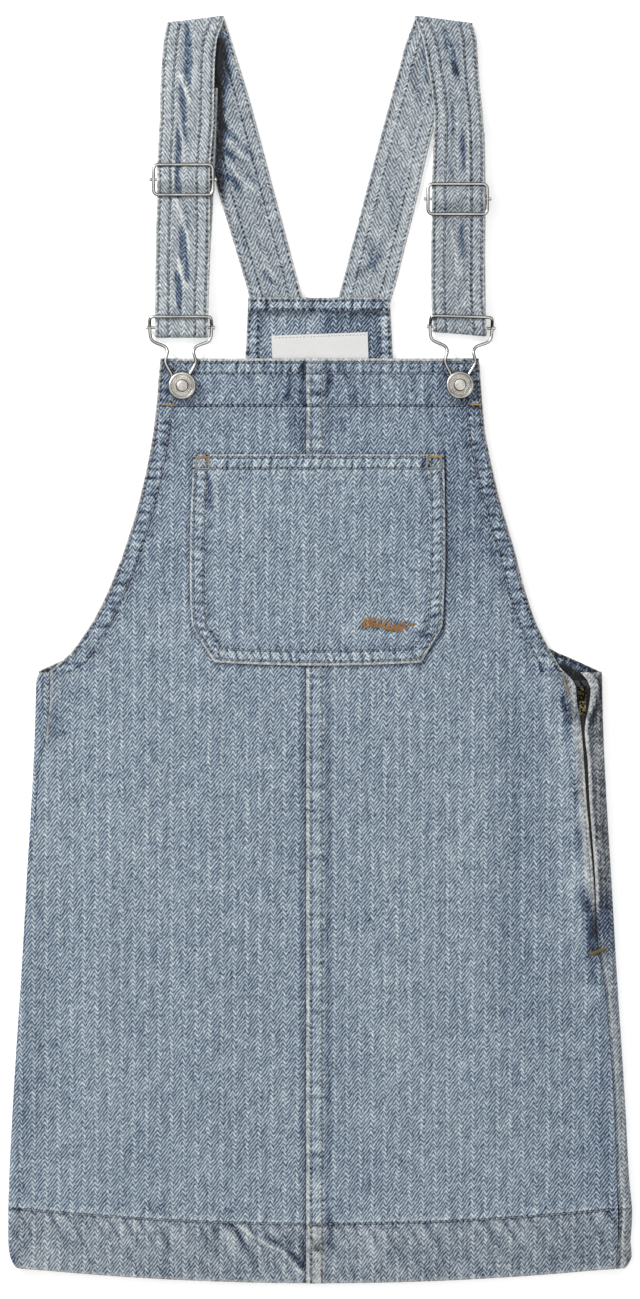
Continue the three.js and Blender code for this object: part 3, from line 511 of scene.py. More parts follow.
def back_panel(name, sign):
    """The back at one side: flat on the floor, round the side fold and up to the front's edge."""
    flat = len(BACK_X)
    turn = len(BACK_TURN)
    top = 9
    reach = float(fold_x(np.array(SIDE_TOP)) - FOLD_R)
    rows = np.unique(np.concatenate([[-400, -399, -397], spread(-394, -20, 5), [-17, -15.6, -15]]))

    def lay(i, j):
        base = rows[j]
        onflat = i < flat
        bx = BACK_X[np.clip(i, 0, flat - 1)]
        high = np.where(bx < 44.65, BACK_TOP, back_top(1, bx))
        y = HEM_Y + (base - HEM_Y) * (high - HEM_Y) / (SIDE_TOP - HEM_Y)
        wider = (fold_x(np.minimum(y, SIDE_TOP)) - FOLD_R) / reach
        fx = bx * np.where((y < SIDE_TOP) & (bx > 1), wider, 1.0)
        gap = lips(1, base) if sign > 0 else 0.3
        end = front_end(sign, base) + gap
        k = i - flat
        s_turn = BACK_TURN[np.clip(k, 0, turn - 1)]
        f = np.clip((k - turn + 1) / top, 0, 1)
        s = np.where(k < turn, s_turn, BACK_TURN[-1] + (end - BACK_TURN[-1]) * f)
        x, z, nx, nz = section(sign, s, base)
        apex = FOLD_R * np.pi / 2
        t = np.clip(s / apex, 0, 1)
        drop = (-6.5 if sign < 0 else 0.6) * smooth(t)
        drop = drop * np.where(s > apex, 1 - 0.9 * np.clip((s - apex) / apex, 0, 1), 1)
        lift = drop * smooth((base + 40) / 25)
        X = np.where(onflat, sign * fx, x)
        if sign > 0:
            out = 1.5 * bell(base + 366, 15) + 2.4 * smooth((-383 - base) / 12)
            X = X + out * np.where(onflat, smooth((fx - 150) / 25), smooth((x - 187) / 3))
        Y = np.where(onflat, y + hem_rise(fx, y), base + lift + hem_rise(x, base))
        Z = np.where(onflat, 0.0, z)
        d_hem = base - HEM_Y
        m = Marks(X)
        m.near(d_hem, X + 900, (HEM_ROW,), 0)
        near = np.where(onflat, 60.0, s - end)
        dz = np.zeros_like(X)
        m.near(np.where(base > -30, SIDE_TOP - base + 0.3, 60.0), X + 1300, (), 0)
        if sign > 0:
            zone = smooth((base + 172) / 12)
            m.near(np.where(base > -165, np.maximum(near, 0), 60.0), Y + 1700, (), 0)
            dz = 0.25 * ripple(Y, 61, 9, 22) * bell(near, 3) * smooth((Y + 180) / 30) * ~onflat
            # The zip's lip is pale, and the strip behind it is darkened with painted shade, where the side
            # fold turns away from the light
            wide_lip = 2.4 + 3.6 * smooth((Y + 48) / 26)
            deep = bell(Y + 173, 17)
            behind = near - wide_lip
            m.fade += zone * (
                0.5 * smooth(-behind / 1.2) - 0.8 * (1 - deep) * smooth((behind + 0.6) / 1.2)
                - 1.3 * bell(behind - 0.9, 0.8) - 0.8 * bell(near - 6.6, 0.6) * smooth((-60 - Y) / 8)
                - 0.7 * bell(Y + 38, 12) * smooth(behind))
            m.fade -= 1.6 * fold_line(X, Y, 178.6, -20, 170.4, -47.5, 1.2) * ~onflat
            # Deep blue beside the zip's end, and below it a worn ridge and a dark line of painted shadow at
            # the seam along the front's edge
            ridge = 0.8 * bell(near - 2.2, 0.8) - 1.3 * bell(near - 0.5, 0.7) - 0.15
            m.fade += ~onflat * ((1 - zone) * ridge - 1.45 * deep)
            m.grey += ~onflat * (1 - 0.9 * deep) * (0.6 + 0.3 * zone + 0.2 * smooth((-362 - Y) / 2))
            m.fade -= 0.35 * ~onflat * smooth((-362 - Y) / 2)
            # Painted shade on the back's inside, under the armhole at the wearer's left
            m.fade -= 2.4 * onflat * smooth((fx - 128) / 14) * smooth((y + 60) / 30)
            m.fade += 0.2 * zone * ripple(Y, 65, 30, 90) * ~onflat
        else:
            # Painted shade on the back's inside, in the armhole's small opening at the wearer's right
            m.fade = m.fade - 0.35 * ~onflat - 2.0 * onflat * smooth((fx - 160) / 6) * smooth((y + 60) / 30)
        m.fade -= 0.1 * onflat
        return (X + nx * dz, Y, Z + nz * dz), (X, Y), m.out()

    return cloth(name, flat + turn + top, len(rows), lay, WALL, up=False)


def back_facing(name, sign):
    """The turned hem inside the back's armhole, from the bib's corner to the side."""
    slope = np.concatenate([np.linspace(46.6, 60, 60), np.linspace(60.6, 176.9, 112)])
    xs = np.concatenate([np.linspace(BACK_HALF, 46.5, 22), slope])
    end = 0.45 * np.maximum(slope - 175.1, 0)
    ys = np.concatenate([np.linspace(BACK_TOP, 185, 22), back_top(1, slope) - end])
    path = np.stack([xs, ys], 1)
    # Unit steps along the edge, and across it into the cloth
    step = np.gradient(path, axis=0)
    step /= np.linalg.norm(step, axis=1)[:, None]
    inward = np.stack([step[:, 1], -step[:, 0]], 1)
    way = np.concatenate([[0], np.cumsum(np.linalg.norm(np.diff(path, axis=0), axis=1))])
    across = np.array([0.1, 0.5, 1.0, 1.6, 2.2, 3.4, 4.6, 5.8, 6.8, 7.4, 8.0])

    def lay(i, j):
        d = across[i]
        p = path[j] + inward[j] * d[:, None]
        m = Marks(d)
        dz, rope = turned(d, way[j], FACING_ROWS, 71 + sign, 0.0, 0.2, 5.6)
        m.near(d, way[j], FACING_ROWS, rope)
        # The wearer's left lies in the shadow under the bib's side
        m.fade = -0.25 - (1.0 if sign > 0 else 0.4) * smooth((p[:, 0] - 126) / 14)
        m.fade -= (1.5 if sign > 0 else 0.3) * smooth((d - 3.6) / 3) * smooth((p[:, 0] - 112) / 26)
        m.fade -= (0.5 if sign > 0 else 0.0) * smooth((p[:, 0] - 112) / 26)
        return (sign * p[:, 0], p[:, 1], CLOTH + 1.15 + dz), (sign * p[:, 0], p[:, 1]), m.out()

    return cloth(name, len(across), len(path), lay, 0.95)


def bib_hem(name):
    """The turned hem along the back bib's top, over the strap ends."""
    xs = np.unique(np.concatenate([spread(-BACK_HALF, BACK_HALF, 1.2), [-8.4, -5.2, -2.5, 5, 7.2, 9.6]]))
    across = np.array([-0.2, 0.2, 0.7, 1.3, 1.9, 2.5, 3.6, 4.8, 6.0, 6.8, 7.4, 8.0])

    def lay(i, j):
        x, d = xs[i], across[j]
        over = 1 - smooth((x + 8.2) / 3.4) * smooth((10.2 - x) / 3.4)
        m = Marks(d)
        side = 44.9 - np.abs(x)
        dz, rope = turned(d, x, BACK_HEM_ROWS, 81, 0.0, 0.24, 6.2)
        m.near(d, x, BACK_HEM_ROWS, rope)
        m.near(side + 0.2, x + 900, (), 0)
        m.fade = -0.2 - 0.9 * bell(x + 32, 5) * bell(d - 5, 4) - 0.5 * bell(x - 36, 4)
        z = 2.85 + 2.6 * over + dz - 0.4 * bell(side, 0.7)
        return (x, BACK_TOP - d, z), (x, BACK_TOP - d), m.out()

    return cloth(name, len(xs), len(across), lay, 1.1)


# Rows of the pocket up from its foot, and columns in from its sides
POCKET_V = np.unique(np.concatenate([
    [0, 0.3, 0.7, 1.6, 2.2, 2.8, 3.8, 5.2, 6.6, 7.9, 8.5, 9.1, 10.4], spread(12, 117, 1.7),
    POCKET_TOP - POCKET_LOW - np.array([
        12.5, 11.2, 9.9, 9.3, 8.7, 7.2, 5.8, 4.4, 3.4, 2.8, 2.2, 1.6, 0.8, 0.3, 0,
    ]),
]))
POCKET_U = np.array([0, 0.3, 0.7, 1.6, 2.2, 2.8, 3.8, 5.2, 6.6, 7.9, 8.5, 9.1, 10.4, 12])


# Darker patches of the pocket: x, half width, y, half height, how much
POCKET_DYE = [
    (68, 5, POCKET_TOP - 5.5, 3, 1.2), (-52, 6, POCKET_TOP - 5.5, 3, 0.7), (-14, 5, POCKET_LOW + 5.4, 3, 0.7),
    (69, 4, 9, 4, 1.1), (60, 20, 90, 30, 0.25),
]


def pocket_point(x, v):
    """Pocket surface at x, v up from the lower edge, with its marks."""
    y = POCKET_LOW + v
    left, right = pocket_side(1, y), pocket_side(2, y)
    low = -2.0 * (1 - (x / 66) ** 2) * smooth((30 - v) / 30)
    shear = np.where(v < POCKET_CHAMFER, CHAMFER_SHEAR, 1.0)
    d_side = np.minimum(x - left, right - x) * shear
    d_top = POCKET_TOP - y
    d = np.minimum(np.minimum(d_side, v), 60)
    way = np.where(d_side < v, y + np.where(x > 0, 160, 0), x - 400)
    z1, r1 = turned(d, way, POCKET_ROWS, 91, 0.35, 0.4, 5.6, 0.3, 9)
    z2, r2 = turned(d_top, x, MOUTH_ROWS, 92, 0.35, 0.42, 5.3, 0.3, 7)
    seam = smooth((x - FELL_EDGE + 3) / 3) * smooth((FELL_END + 3 - x) / 3)
    side = smooth(d_side / 3)
    m = Marks(x)
    m.near(d, way, POCKET_ROWS, r1 * smooth((d_top - 8.7) / 2))
    m.near(d_top + 0.02, x + 500, MOUTH_ROWS, r2 * side)
    m.edge += 1.1 * smooth((v - 6) / 8)
    z = top_z(x, y) + 0.4 + CLOTH + np.maximum(z1 * smooth((d_top - 6) / 3), z2 * side)
    z -= 0.45 * bell(d, 0.5) * smooth((8 - d_top) / 2)
    z += 0.8 * seam + 0.5 * bell(x + 66, 2.6) * bell(y - 104, 12)
    z -= 0.4 * bell(x + 70, 2.2) * bell(y - 100, 13)
    # Two folds below the mouth's corner, then lines beside the stitching
    m.fade = -1.3 * fold_line(x, y, -70.5, 112, -67.5, 88, 1.6)
    m.fade += 0.8 * fold_line(x, y, -67.5, 112, -64.5, 92, 1.3)
    m.fade -= 0.45 * bell(d - 10.8, 1.6) * smooth((d_top - 9) / 3)
    m.fade += 0.25 * bell(d_top - 11, 2.2) * smooth((d - 9) / 2)
    m.fade += 0.5 * bell(d, 1.2) * smooth((9 - v) / 4)
    m.fade -= 0.5 * bell(d_side - 5.4, 3) * bell(y - 20, 18)
    for at_x, wide, at_y, high, much in POCKET_DYE:
        m.fade -= much * bell(x - at_x, wide) * bell(y - at_y, high)
    # The cloth is darker under the sprig and washed pale about it
    patch = np.hypot((x - 41.5) / 18.5, (y - 14.6) / 4.6)
    m.fade = m.fade - 0.7 * smooth((1.0 - patch) / 0.35) + 0.5 * bell(patch - 1.22, 0.16)
    return (x, y + low, z), m


def chest_pocket(name):
    """The patch pocket, laid over the bib."""
    middle = np.linspace(0, 1, 92)[1:-1]
    cols = [(0.0, u) for u in POCKET_U] + [(f, POCKET_U[-1]) for f in middle]
    cols = np.array(cols + [(1.0, u) for u in POCKET_U[::-1]])

    def lay(i, j):
        v = POCKET_V[j]
        left, right = pocket_side(1, POCKET_LOW + v), pocket_side(2, POCKET_LOW + v)
        f, u = cols[i, 0], cols[i, 1]
        xyz, m = pocket_point((1 - f) * (left + u) + f * (right - u), v)
        return xyz, (xyz[0] + 3.1, xyz[1] + 40), m.out()

    return cloth(name, len(cols), len(POCKET_V), lay, WALL)


# Strap rows from the back bib: left x, y, right x, y, mid height; turn and ring rows are filled in
STRAP_RIGHT = [
    (-41.3, 212.6, -8.2, 212.6, 2.9), (-43.5, 220.2, -10.1, 220.2, 2.9), (-46.0, 229.0, -12.4, 229.0, 1.1),
    (-63.9, 288.9, -28.5, 288.9, 1.0), (-78.4, 345.6, -43.5, 345.6, 1.0), (-88.5, 377.1, -53.2, 377.1, 1.0),
    ("up", -96.1, 392.6, -59.5, 397.0, 1.0, 3.4),
    (-97.8, 384.6, -64.3, 384.6, 3.4), (-98.9, 372.6, -65.5, 372.6, 3.4), (-99.5, 365.1, -65.8, 365.1, 3.4),
    (-99.9, 355.6, -66.0, 355.6, 5.75), (-100.5, 329.8, -66.4, 329.8, 5.75),
    ("ring", -101.9, 295.0, -68.5, 295.0),
    (-102.7, 266.8, -68.6, 266.8, 4.6), (-103.1, 241.6, -69.0, 241.6, 4.4),
    (-103.3, 216.4, -69.9, 216.4, 5.8), (-103.3, 204, -69.9, 204, 5.8),
    ("down", -103.3, 199.2, -69.9, 199.2, 5.8, 1.0),
    (-103.3, 210, -69.9, 210, 1.0), (-102.9, 247.9, -68.6, 247.9, 1.0), (-102.0, 268.7, -67.4, 268.7, 1.0),
    (-101.4, 280.7, -66.8, 280.7, 3.4), (-99.2, 320.4, -64.9, 320.4, 3.4), (-98.3, 353.1, -63.8, 353.1, 3.4),
]
STRAP_LEFT = [
    (9.6, 212.6, 44.0, 212.6, 2.9), (11.7, 220.2, 45.4, 220.2, 2.9), (14.0, 229.0, 48.3, 229.0, 1.1),
    (26.1, 275.3, 59.9, 275.3, 1.0), (38.7, 323.3, 70.9, 323.3, 1.0), (47.9, 357.5, 81.0, 357.5, 1.0),
    (53.6, 378.9, 88.2, 378.9, 1.0), ("up", 60.2, 397.0, 97.1, 392.2, 1.0, 3.4),
    (65.2, 384.6, 99.3, 384.6, 3.4), (68.0, 369.5, 100.2, 369.5, 3.4), (70.7, 354.1, 101.3, 354.1, 3.4),
    (72.4, 337.4, 103.2, 337.4, 3.4), (72.1, 327.9, 103.6, 327.9, 5.75), (71.7, 310.9, 104.1, 310.9, 5.75),
    ("ring", 70.9, 282.8, 104.2, 282.8),
    (70.6, 254.2, 104.2, 254.2, 4.5), (70.3, 234, 104.1, 233, 4.5), (70.6, 219.6, 104.3, 217.4, 5.8),
    (71.2, 207.5, 105.2, 205.0, 5.8), ("down", 71.8, 202.9, 105.8, 200.0, 5.8, 1.0),
    (71.4, 213.5, 105.2, 211.2, 1.0), (71.0, 247.9, 104.8, 247.9, 1.0), (71.4, 282.8, 105.2, 282.8, 1.0),
    (72.0, 294.2, 105.0, 294.2, 1.0), (72.4, 306.0, 104.8, 306.0, 3.4), (72.6, 325.2, 104.4, 325.2, 3.4),
]

# Blue creases, worn ridges and painted shadow of the straps: 1 on the front run or 0 on the back run, start,
# end, half width, how much they fade or darken
CREASES_AND_SHADOWS_RIGHT = [
    (1, -83.2, 396, -81.6, 352, 2.4, -1.5), (1, -87.6, 358, -83.3, 316, 2.2, -1.5),
    (1, -88.9, 330, -88.2, 296, 1.8, -1.5), (1, -90.1, 302, -87.6, 283, 2.0, -1.6),
    (1, -86.8, 269, -83.0, 229, 2.6, -1.5), (1, -89.4, 239, -87.3, 213, 2.3, -1.5),
    (1, -84.0, 280, -82.5, 262, 1.6, -0.8), (1, -88.8, 218, -86.3, 208, 0.9, -1.3),
    (1, -85.1, 378, -84.7, 356, 0.7, -1.2), (1, -88.2, 363, -84.2, 351, 0.9, 1.9),
    (1, -84.9, 353, -80.9, 342, 0.9, 1.7), (1, -87.8, 341, -85.5, 320, 0.9, 1.5),
    (1, -85.7, 322, -84.4, 300, 0.9, 1.4), (1, -90.3, 284, -86.2, 271, 0.9, 1.8),
    (1, -86.5, 272, -83.0, 260, 0.9, 1.8), (1, -83.4, 262, -81.3, 250, 0.9, 1.3),
    (1, -88.9, 246, -86.2, 234, 0.9, 1.8), (1, -86.5, 235, -83.3, 226, 0.9, 1.6),
    (1, -86.6, 209, -84, 201, 0.9, 0.9), (1, -92.6, 330, -91.4, 290, 0.8, 0.9),
    # The back run's three dark marks at x -63.5 to -58 are painted shadow cast by the front run
    (1, -78.2, 392, -78.6, 350, 1.1, 0.7), (0, -63.5, 388, -63.2, 345, 3.6, -3.6),
    (0, -62.6, 352, -62.0, 284, 2.6, -3.0), (0, -59, 388, -58, 350, 2.4, -1.4),
    (0, -61.1, 338, -57.0, 331.2, 1.0, 1.7), (0, -57.6, 332, -49.5, 323, 1.0, 1.5),
    (0, -58.8, 322.5, -52.0, 314.8, 1.1, 1.6), (0, -52.6, 315.5, -42.0, 305.5, 1.1, 1.4),
    (0, -56.3, 305, -49.6, 296, 1.1, 1.6), (0, -50.2, 296.8, -40, 288.5, 1.1, 1.4),
    (0, -60, 311, -56.5, 308, 0.9, 1.2), (0, -61.7, 331.5, -52, 319, 1.6, -1.5),
    (0, -60, 315.5, -52.5, 307.5, 1.7, -1.6), (0, -59, 300.5, -49, 288.5, 1.9, -1.4),
    (0, -48, 318, -41, 309, 1.6, -1.0), (0, -46, 300, -38, 292, 1.6, -0.9),
    (0, -42, 259, -34.5, 244, 0.9, 1.3), (0, -35.5, 243, -26.5, 233, 0.9, 1.3),
    (0, -36, 238, -28, 229, 1.3, -1.0), (0, -52, 268, -44, 246, 1.6, -0.8),
]
CREASES_LEFT = [
    (1, 78.8, 395, 87, 358, 2.4, -1.3), (1, 85.6, 370, 88, 357, 1.4, -1.1),
    (1, 84.4, 346, 84.4, 322, 1.1, -1.1), (1, 90.7, 328, 90.7, 300, 1.4, -1.3),
    (1, 89.5, 270, 90.7, 244, 1.8, -1.1), (1, 81.3, 314, 84.4, 294, 1.4, -0.8),
    (1, 86.3, 356, 88.5, 348, 0.8, 1.2), (1, 79.4, 388, 84.4, 370, 0.9, 0.9),
    (1, 93.9, 330, 93.9, 295, 0.8, 0.9), (1, 82.5, 268, 89.5, 232, 0.8, 0.9),
    (1, 87.5, 345, 87.5, 300, 0.8, 0.8), (0, 58, 372, 64, 340, 2.4, -0.7),
    (0, 42, 300, 48, 262, 2.0, -0.8), (0, 50, 330, 60, 300, 1.5, 0.7), (0, 30, 262, 36, 236, 3.0, -0.8),
    (0, 66, 380, 68, 355, 1.6, -1.2), (0, 42, 250, 20, 232, 2.0, -0.8),
]


# How a strap rises over a slider's bar: along the strap from the bar, mid height
RING_RISE = [(10.6, 5.7), (7.6, 5.8), (2.4, 9.9), (-2.4, 9.9), (-7.6, 5.8), (-10.6, 5.7)]


def strap_rows(rows):
    """Left and right points of a strap's middle surface, close together and rounded over bars and folds."""
    pts, tight = [], []
    for row in rows:
        if row[0] in ("up", "down"):
            left, right = np.array(row[1:3]), np.array(row[3:5])
            z0, z1 = row[5], row[6]
            way = (right - left) / np.linalg.norm(right - left)
            m = np.array([-way[1], way[0]]) * (1 if row[0] == "up" else -1)
            for a in np.linspace(0, np.pi, 11):
                out = m * abs(z1 - z0) / 2 * math.sin(a)
                z = (z0 + z1) / 2 + (z0 - z1) / 2 * math.cos(a)
                pts.append([*(left + out), z, *(right + out), z])
                tight.append(True)
        elif row[0] == "ring":
            for dy, z in RING_RISE:
                pts.append([row[1], row[2] + dy, z, row[3], row[4] + dy, z])
                tight.append(False)
        else:
            pts.append([row[0], row[1], row[4], row[2], row[3], row[4]])
            tight.append(False)
    close, keep = [], []
    for k in range(len(pts) - 1):
        a, b = np.array(pts[k]), np.array(pts[k + 1])
        n = 1 if tight[k] and tight[k + 1] else max(1, int(np.linalg.norm(b - a) / 1.414 / 1.35))
        for m in range(n):
            close.append(a + (b - a) * m / n)
            keep.append(tight[k] and (m == 0 or tight[k + 1]))
    close.append(np.array(pts[-1]))
    keep.append(True)
    close, keep = np.array(close), np.array(keep)
    keep[0] = True
    # Soften the way between the turns, which stay round
    for _ in range(3):
        soft = close.copy()
        soft[1:-1] = (close[:-2] + 2 * close[1:-1] + close[2:]) / 4
        close = np.where(keep[:, None], close, soft)
    return close


# Columns of a strap in from each edge
STRAP_U = np.array([
    0, 0.35, 0.9, 1.4, 1.8, 2.3, 3.4, 5, 6.6, 7.7, 8.3, 8.9, 9.6, 10.4, 11.2, 12, 12.8, 13.6, 14.4, 15.2, 16,
])


def leaf_crease(x, y, x0, y0, x1, y1, w):
    """A hollow with clear sides, widest at its middle."""
    dx, dy = x1 - x0, y1 - y0
    t = ((x - x0) * dx + (y - y0) * dy) / (dx * dx + dy * dy)
    off = ((x - x0) * dy - (y - y0) * dx) / math.hypot(dx, dy)
    half = w * np.sqrt(np.clip(4 * t * (1 - t), 0, 1))
    inside = smooth((half - np.abs(off + 0.2 * w * np.sin(t * 7.0 + x0))) / 0.8 + 0.4)
    return inside * smooth(t * 12) * smooth((1 - t) * 12)


class Strap:
    """A strap's rows with their frames, for its cloth and the stitching on it."""

    def __init__(self, rows, seed, marks, shade=0.0, mirrored=False):
        p = strap_rows(rows)
        self.shade = shade
        self.mirrored = mirrored
        self.l, self.r = p[:, :3], p[:, 3:]
        mid = (self.l + self.r) / 2
        t = np.gradient(mid, axis=0)
        t /= np.linalg.norm(t, axis=1)[:, None]
        across = self.r - self.l
        self.width = np.linalg.norm(across, axis=1)
        across /= self.width[:, None]
        n = np.cross(t, across)
        self.n = n / np.linalg.norm(n, axis=1)[:, None]
        self.way = np.concatenate([[0], np.cumsum(np.linalg.norm(np.diff(mid, axis=0), axis=1))])
        self.seed = seed
        self.marks = marks
        top = int(np.argmax(mid[:, 1]))
        low = top + int(np.argmin(mid[top:, 1]))
        self.shoulder, self.loop = self.way[top], self.way[low]

    def side(self, u, k, face):
        """Point u across the strap at row k, on face +1 or -1, and its marks."""
        w = self.width[k]
        s = self.way[k]
        p = self.l[k] + (self.r[k] - self.l[k]) * (u / w)[:, None]
        d = np.minimum(u, w - u)
        m = Marks(u)
        way = np.where(u < w / 2, s, s + 900)
        rope = np.where(u < w / 2, puffs(s + 0.3 * u, self.seed, 5.2), puffs(s - 0.4 * u, self.seed + 1, 5.6))
        rope = rope * smooth((12 - d) / 3)
        dz = 0.07 * rope - 0.4 * bell(d, 0.6)
        for row in STRAP_ROWS:
            dz -= 0.2 * bell(d - row, 0.6)
        dz += 0.12 * bell(d - 5, 2)
        m.near(d, way, STRAP_ROWS, rope * 0.4)
        front = s > self.shoulder
        m.fade = 0.25 * bell(d - 5, 3)
        x, y = p[:, 0], p[:, 1]
        for on_front, x0, y0, x1, y1, wd, g in self.marks:
            shape = leaf_crease if on_front and g < -1.2 and wd > 1.2 else fold_line
            line = shape(x, y, x0, y0, x1, y1, wd) * (front == on_front) * (s < self.loop)
            dz += 0.25 * g * line * (face > 0)
            m.fade += g * line
        p = p + self.n[k] * (face * (0.5 * STRAP_T + dz))[:, None]
        return p, s, m

    def cloth(self, name):
        cols = [(0.0, u) for u in STRAP_U] + [(1.0, u) for u in STRAP_U[::-1]]
        cols = np.array(cols)

        def lay(i, j):
            w = self.width[j]
            inset = cols[i, 1] * np.minimum(1, w / STRAP_W)
            u = np.where(cols[i, 0] < 0.5, inset, w - inset)
            p, s, m = self.side(u, j, np.ones(len(i)))
            back = smooth((self.shoulder - 4 - s) / 6)
            m.fade = m.fade - (0.4 - self.shade) * back - self.shade * (1 - back)
            m.row += 0.5 * back
            return (p[:, 0], p[:, 1], p[:, 2]), (w - u if self.mirrored else u, s), m.out()

        return cloth(name, len(cols), len(self.way), lay, STRAP_T - 0.2, up=False)


def ink(r, g, b):
    """A screen colour of 0 to 255 as the linear colour that Blender's sockets take."""
    out = []
    for c in (r, g, b):
        c = c / 255
        out.append(c / 12.92 if c <= 0.04045 else ((c + 0.055) / 1.055) ** 2.4)
    return (*out, 1.0)


class Nodes:
    """A material's node tree, with short calls for the nodes that the cloth needs many of."""

    def __init__(self, name):
        self.mat = bpy.data.materials.new(name)
        self.mat.use_nodes = True
        self.t = self.mat.node_tree
        self.bsdf = self.t.nodes["Principled BSDF"]

    def put(self, kind, **sets):
        node = self.t.nodes.new(kind)
        for key, val in sets.items():
            setattr(node, key, val)
        return node

    def wire(self, a, b):
        self.t.links.new(a, b)

    def give(self, socket, val):
        if isinstance(val, bpy.types.NodeSocket):
            self.wire(val, socket)
        else:
            socket.default_value = val

    def surface(self, **sets):
        """Give the surface's sockets their values; an underscore stands for a space in a name."""
        for key, val in sets.items():
            self.give(self.bsdf.inputs[key.replace("_", " ")], val)

    def math(self, op, a, b=0.0):
        node = self.put("ShaderNodeMath", operation=op)
        for socket, val in zip(node.inputs, (a, b)):
            self.give(socket, val)
        return node.outputs[0]

    def add(self, *vals):
        out = vals[0]
        for v in vals[1:]:
            out = self.math("ADD", out, v)
        return out

    def times(self, a, b):
        return self.math("MULTIPLY", a, b)

    def band(self, val, low, high, to_low=0.0, to_high=1.0):
        node = self.put("ShaderNodeMapRange", interpolation_type="SMOOTHSTEP")
        for socket, v in zip(node.inputs, (val, low, high, to_low, to_high)):
            self.give(socket, v)
        return node.outputs[0]

    def noise(self, vector, scale, detail=2.0, rough=0.5):
        node = self.put("ShaderNodeTexNoise")
        self.wire(vector, node.inputs["Vector"])
        node.inputs["Scale"].default_value = scale
        node.inputs["Detail"].default_value = detail
        node.inputs["Roughness"].default_value = rough
        return node.outputs["Fac"]

    def stretch(self, vector, x, y):
        node = self.put("ShaderNodeMapping")
        self.wire(vector, node.inputs["Vector"])
        node.inputs["Scale"].default_value = (x, y, 1.0)
        return node.outputs["Vector"]

    def mark(self, name):
        return self.put("ShaderNodeAttribute", attribute_name=name).outputs["Fac"]

    def ramp(self, fac, stops):
        node = self.put("ShaderNodeValToRGB")
        while len(node.color_ramp.elements) < len(stops):
            node.color_ramp.elements.new(0.5)
        for el, (pos, col) in zip(node.color_ramp.elements, stops):
            el.position, el.color = pos, col
        self.wire(fac, node.inputs["Fac"])
        return node.outputs["Color"]

    def bump(self, height, distance, strength):
        node = self.put("ShaderNodeBump")
        node.inputs["Strength"].default_value = strength
        node.inputs["Distance"].default_value = distance
        self.wire(height, node.inputs["Height"])
        return node.outputs["Normal"]


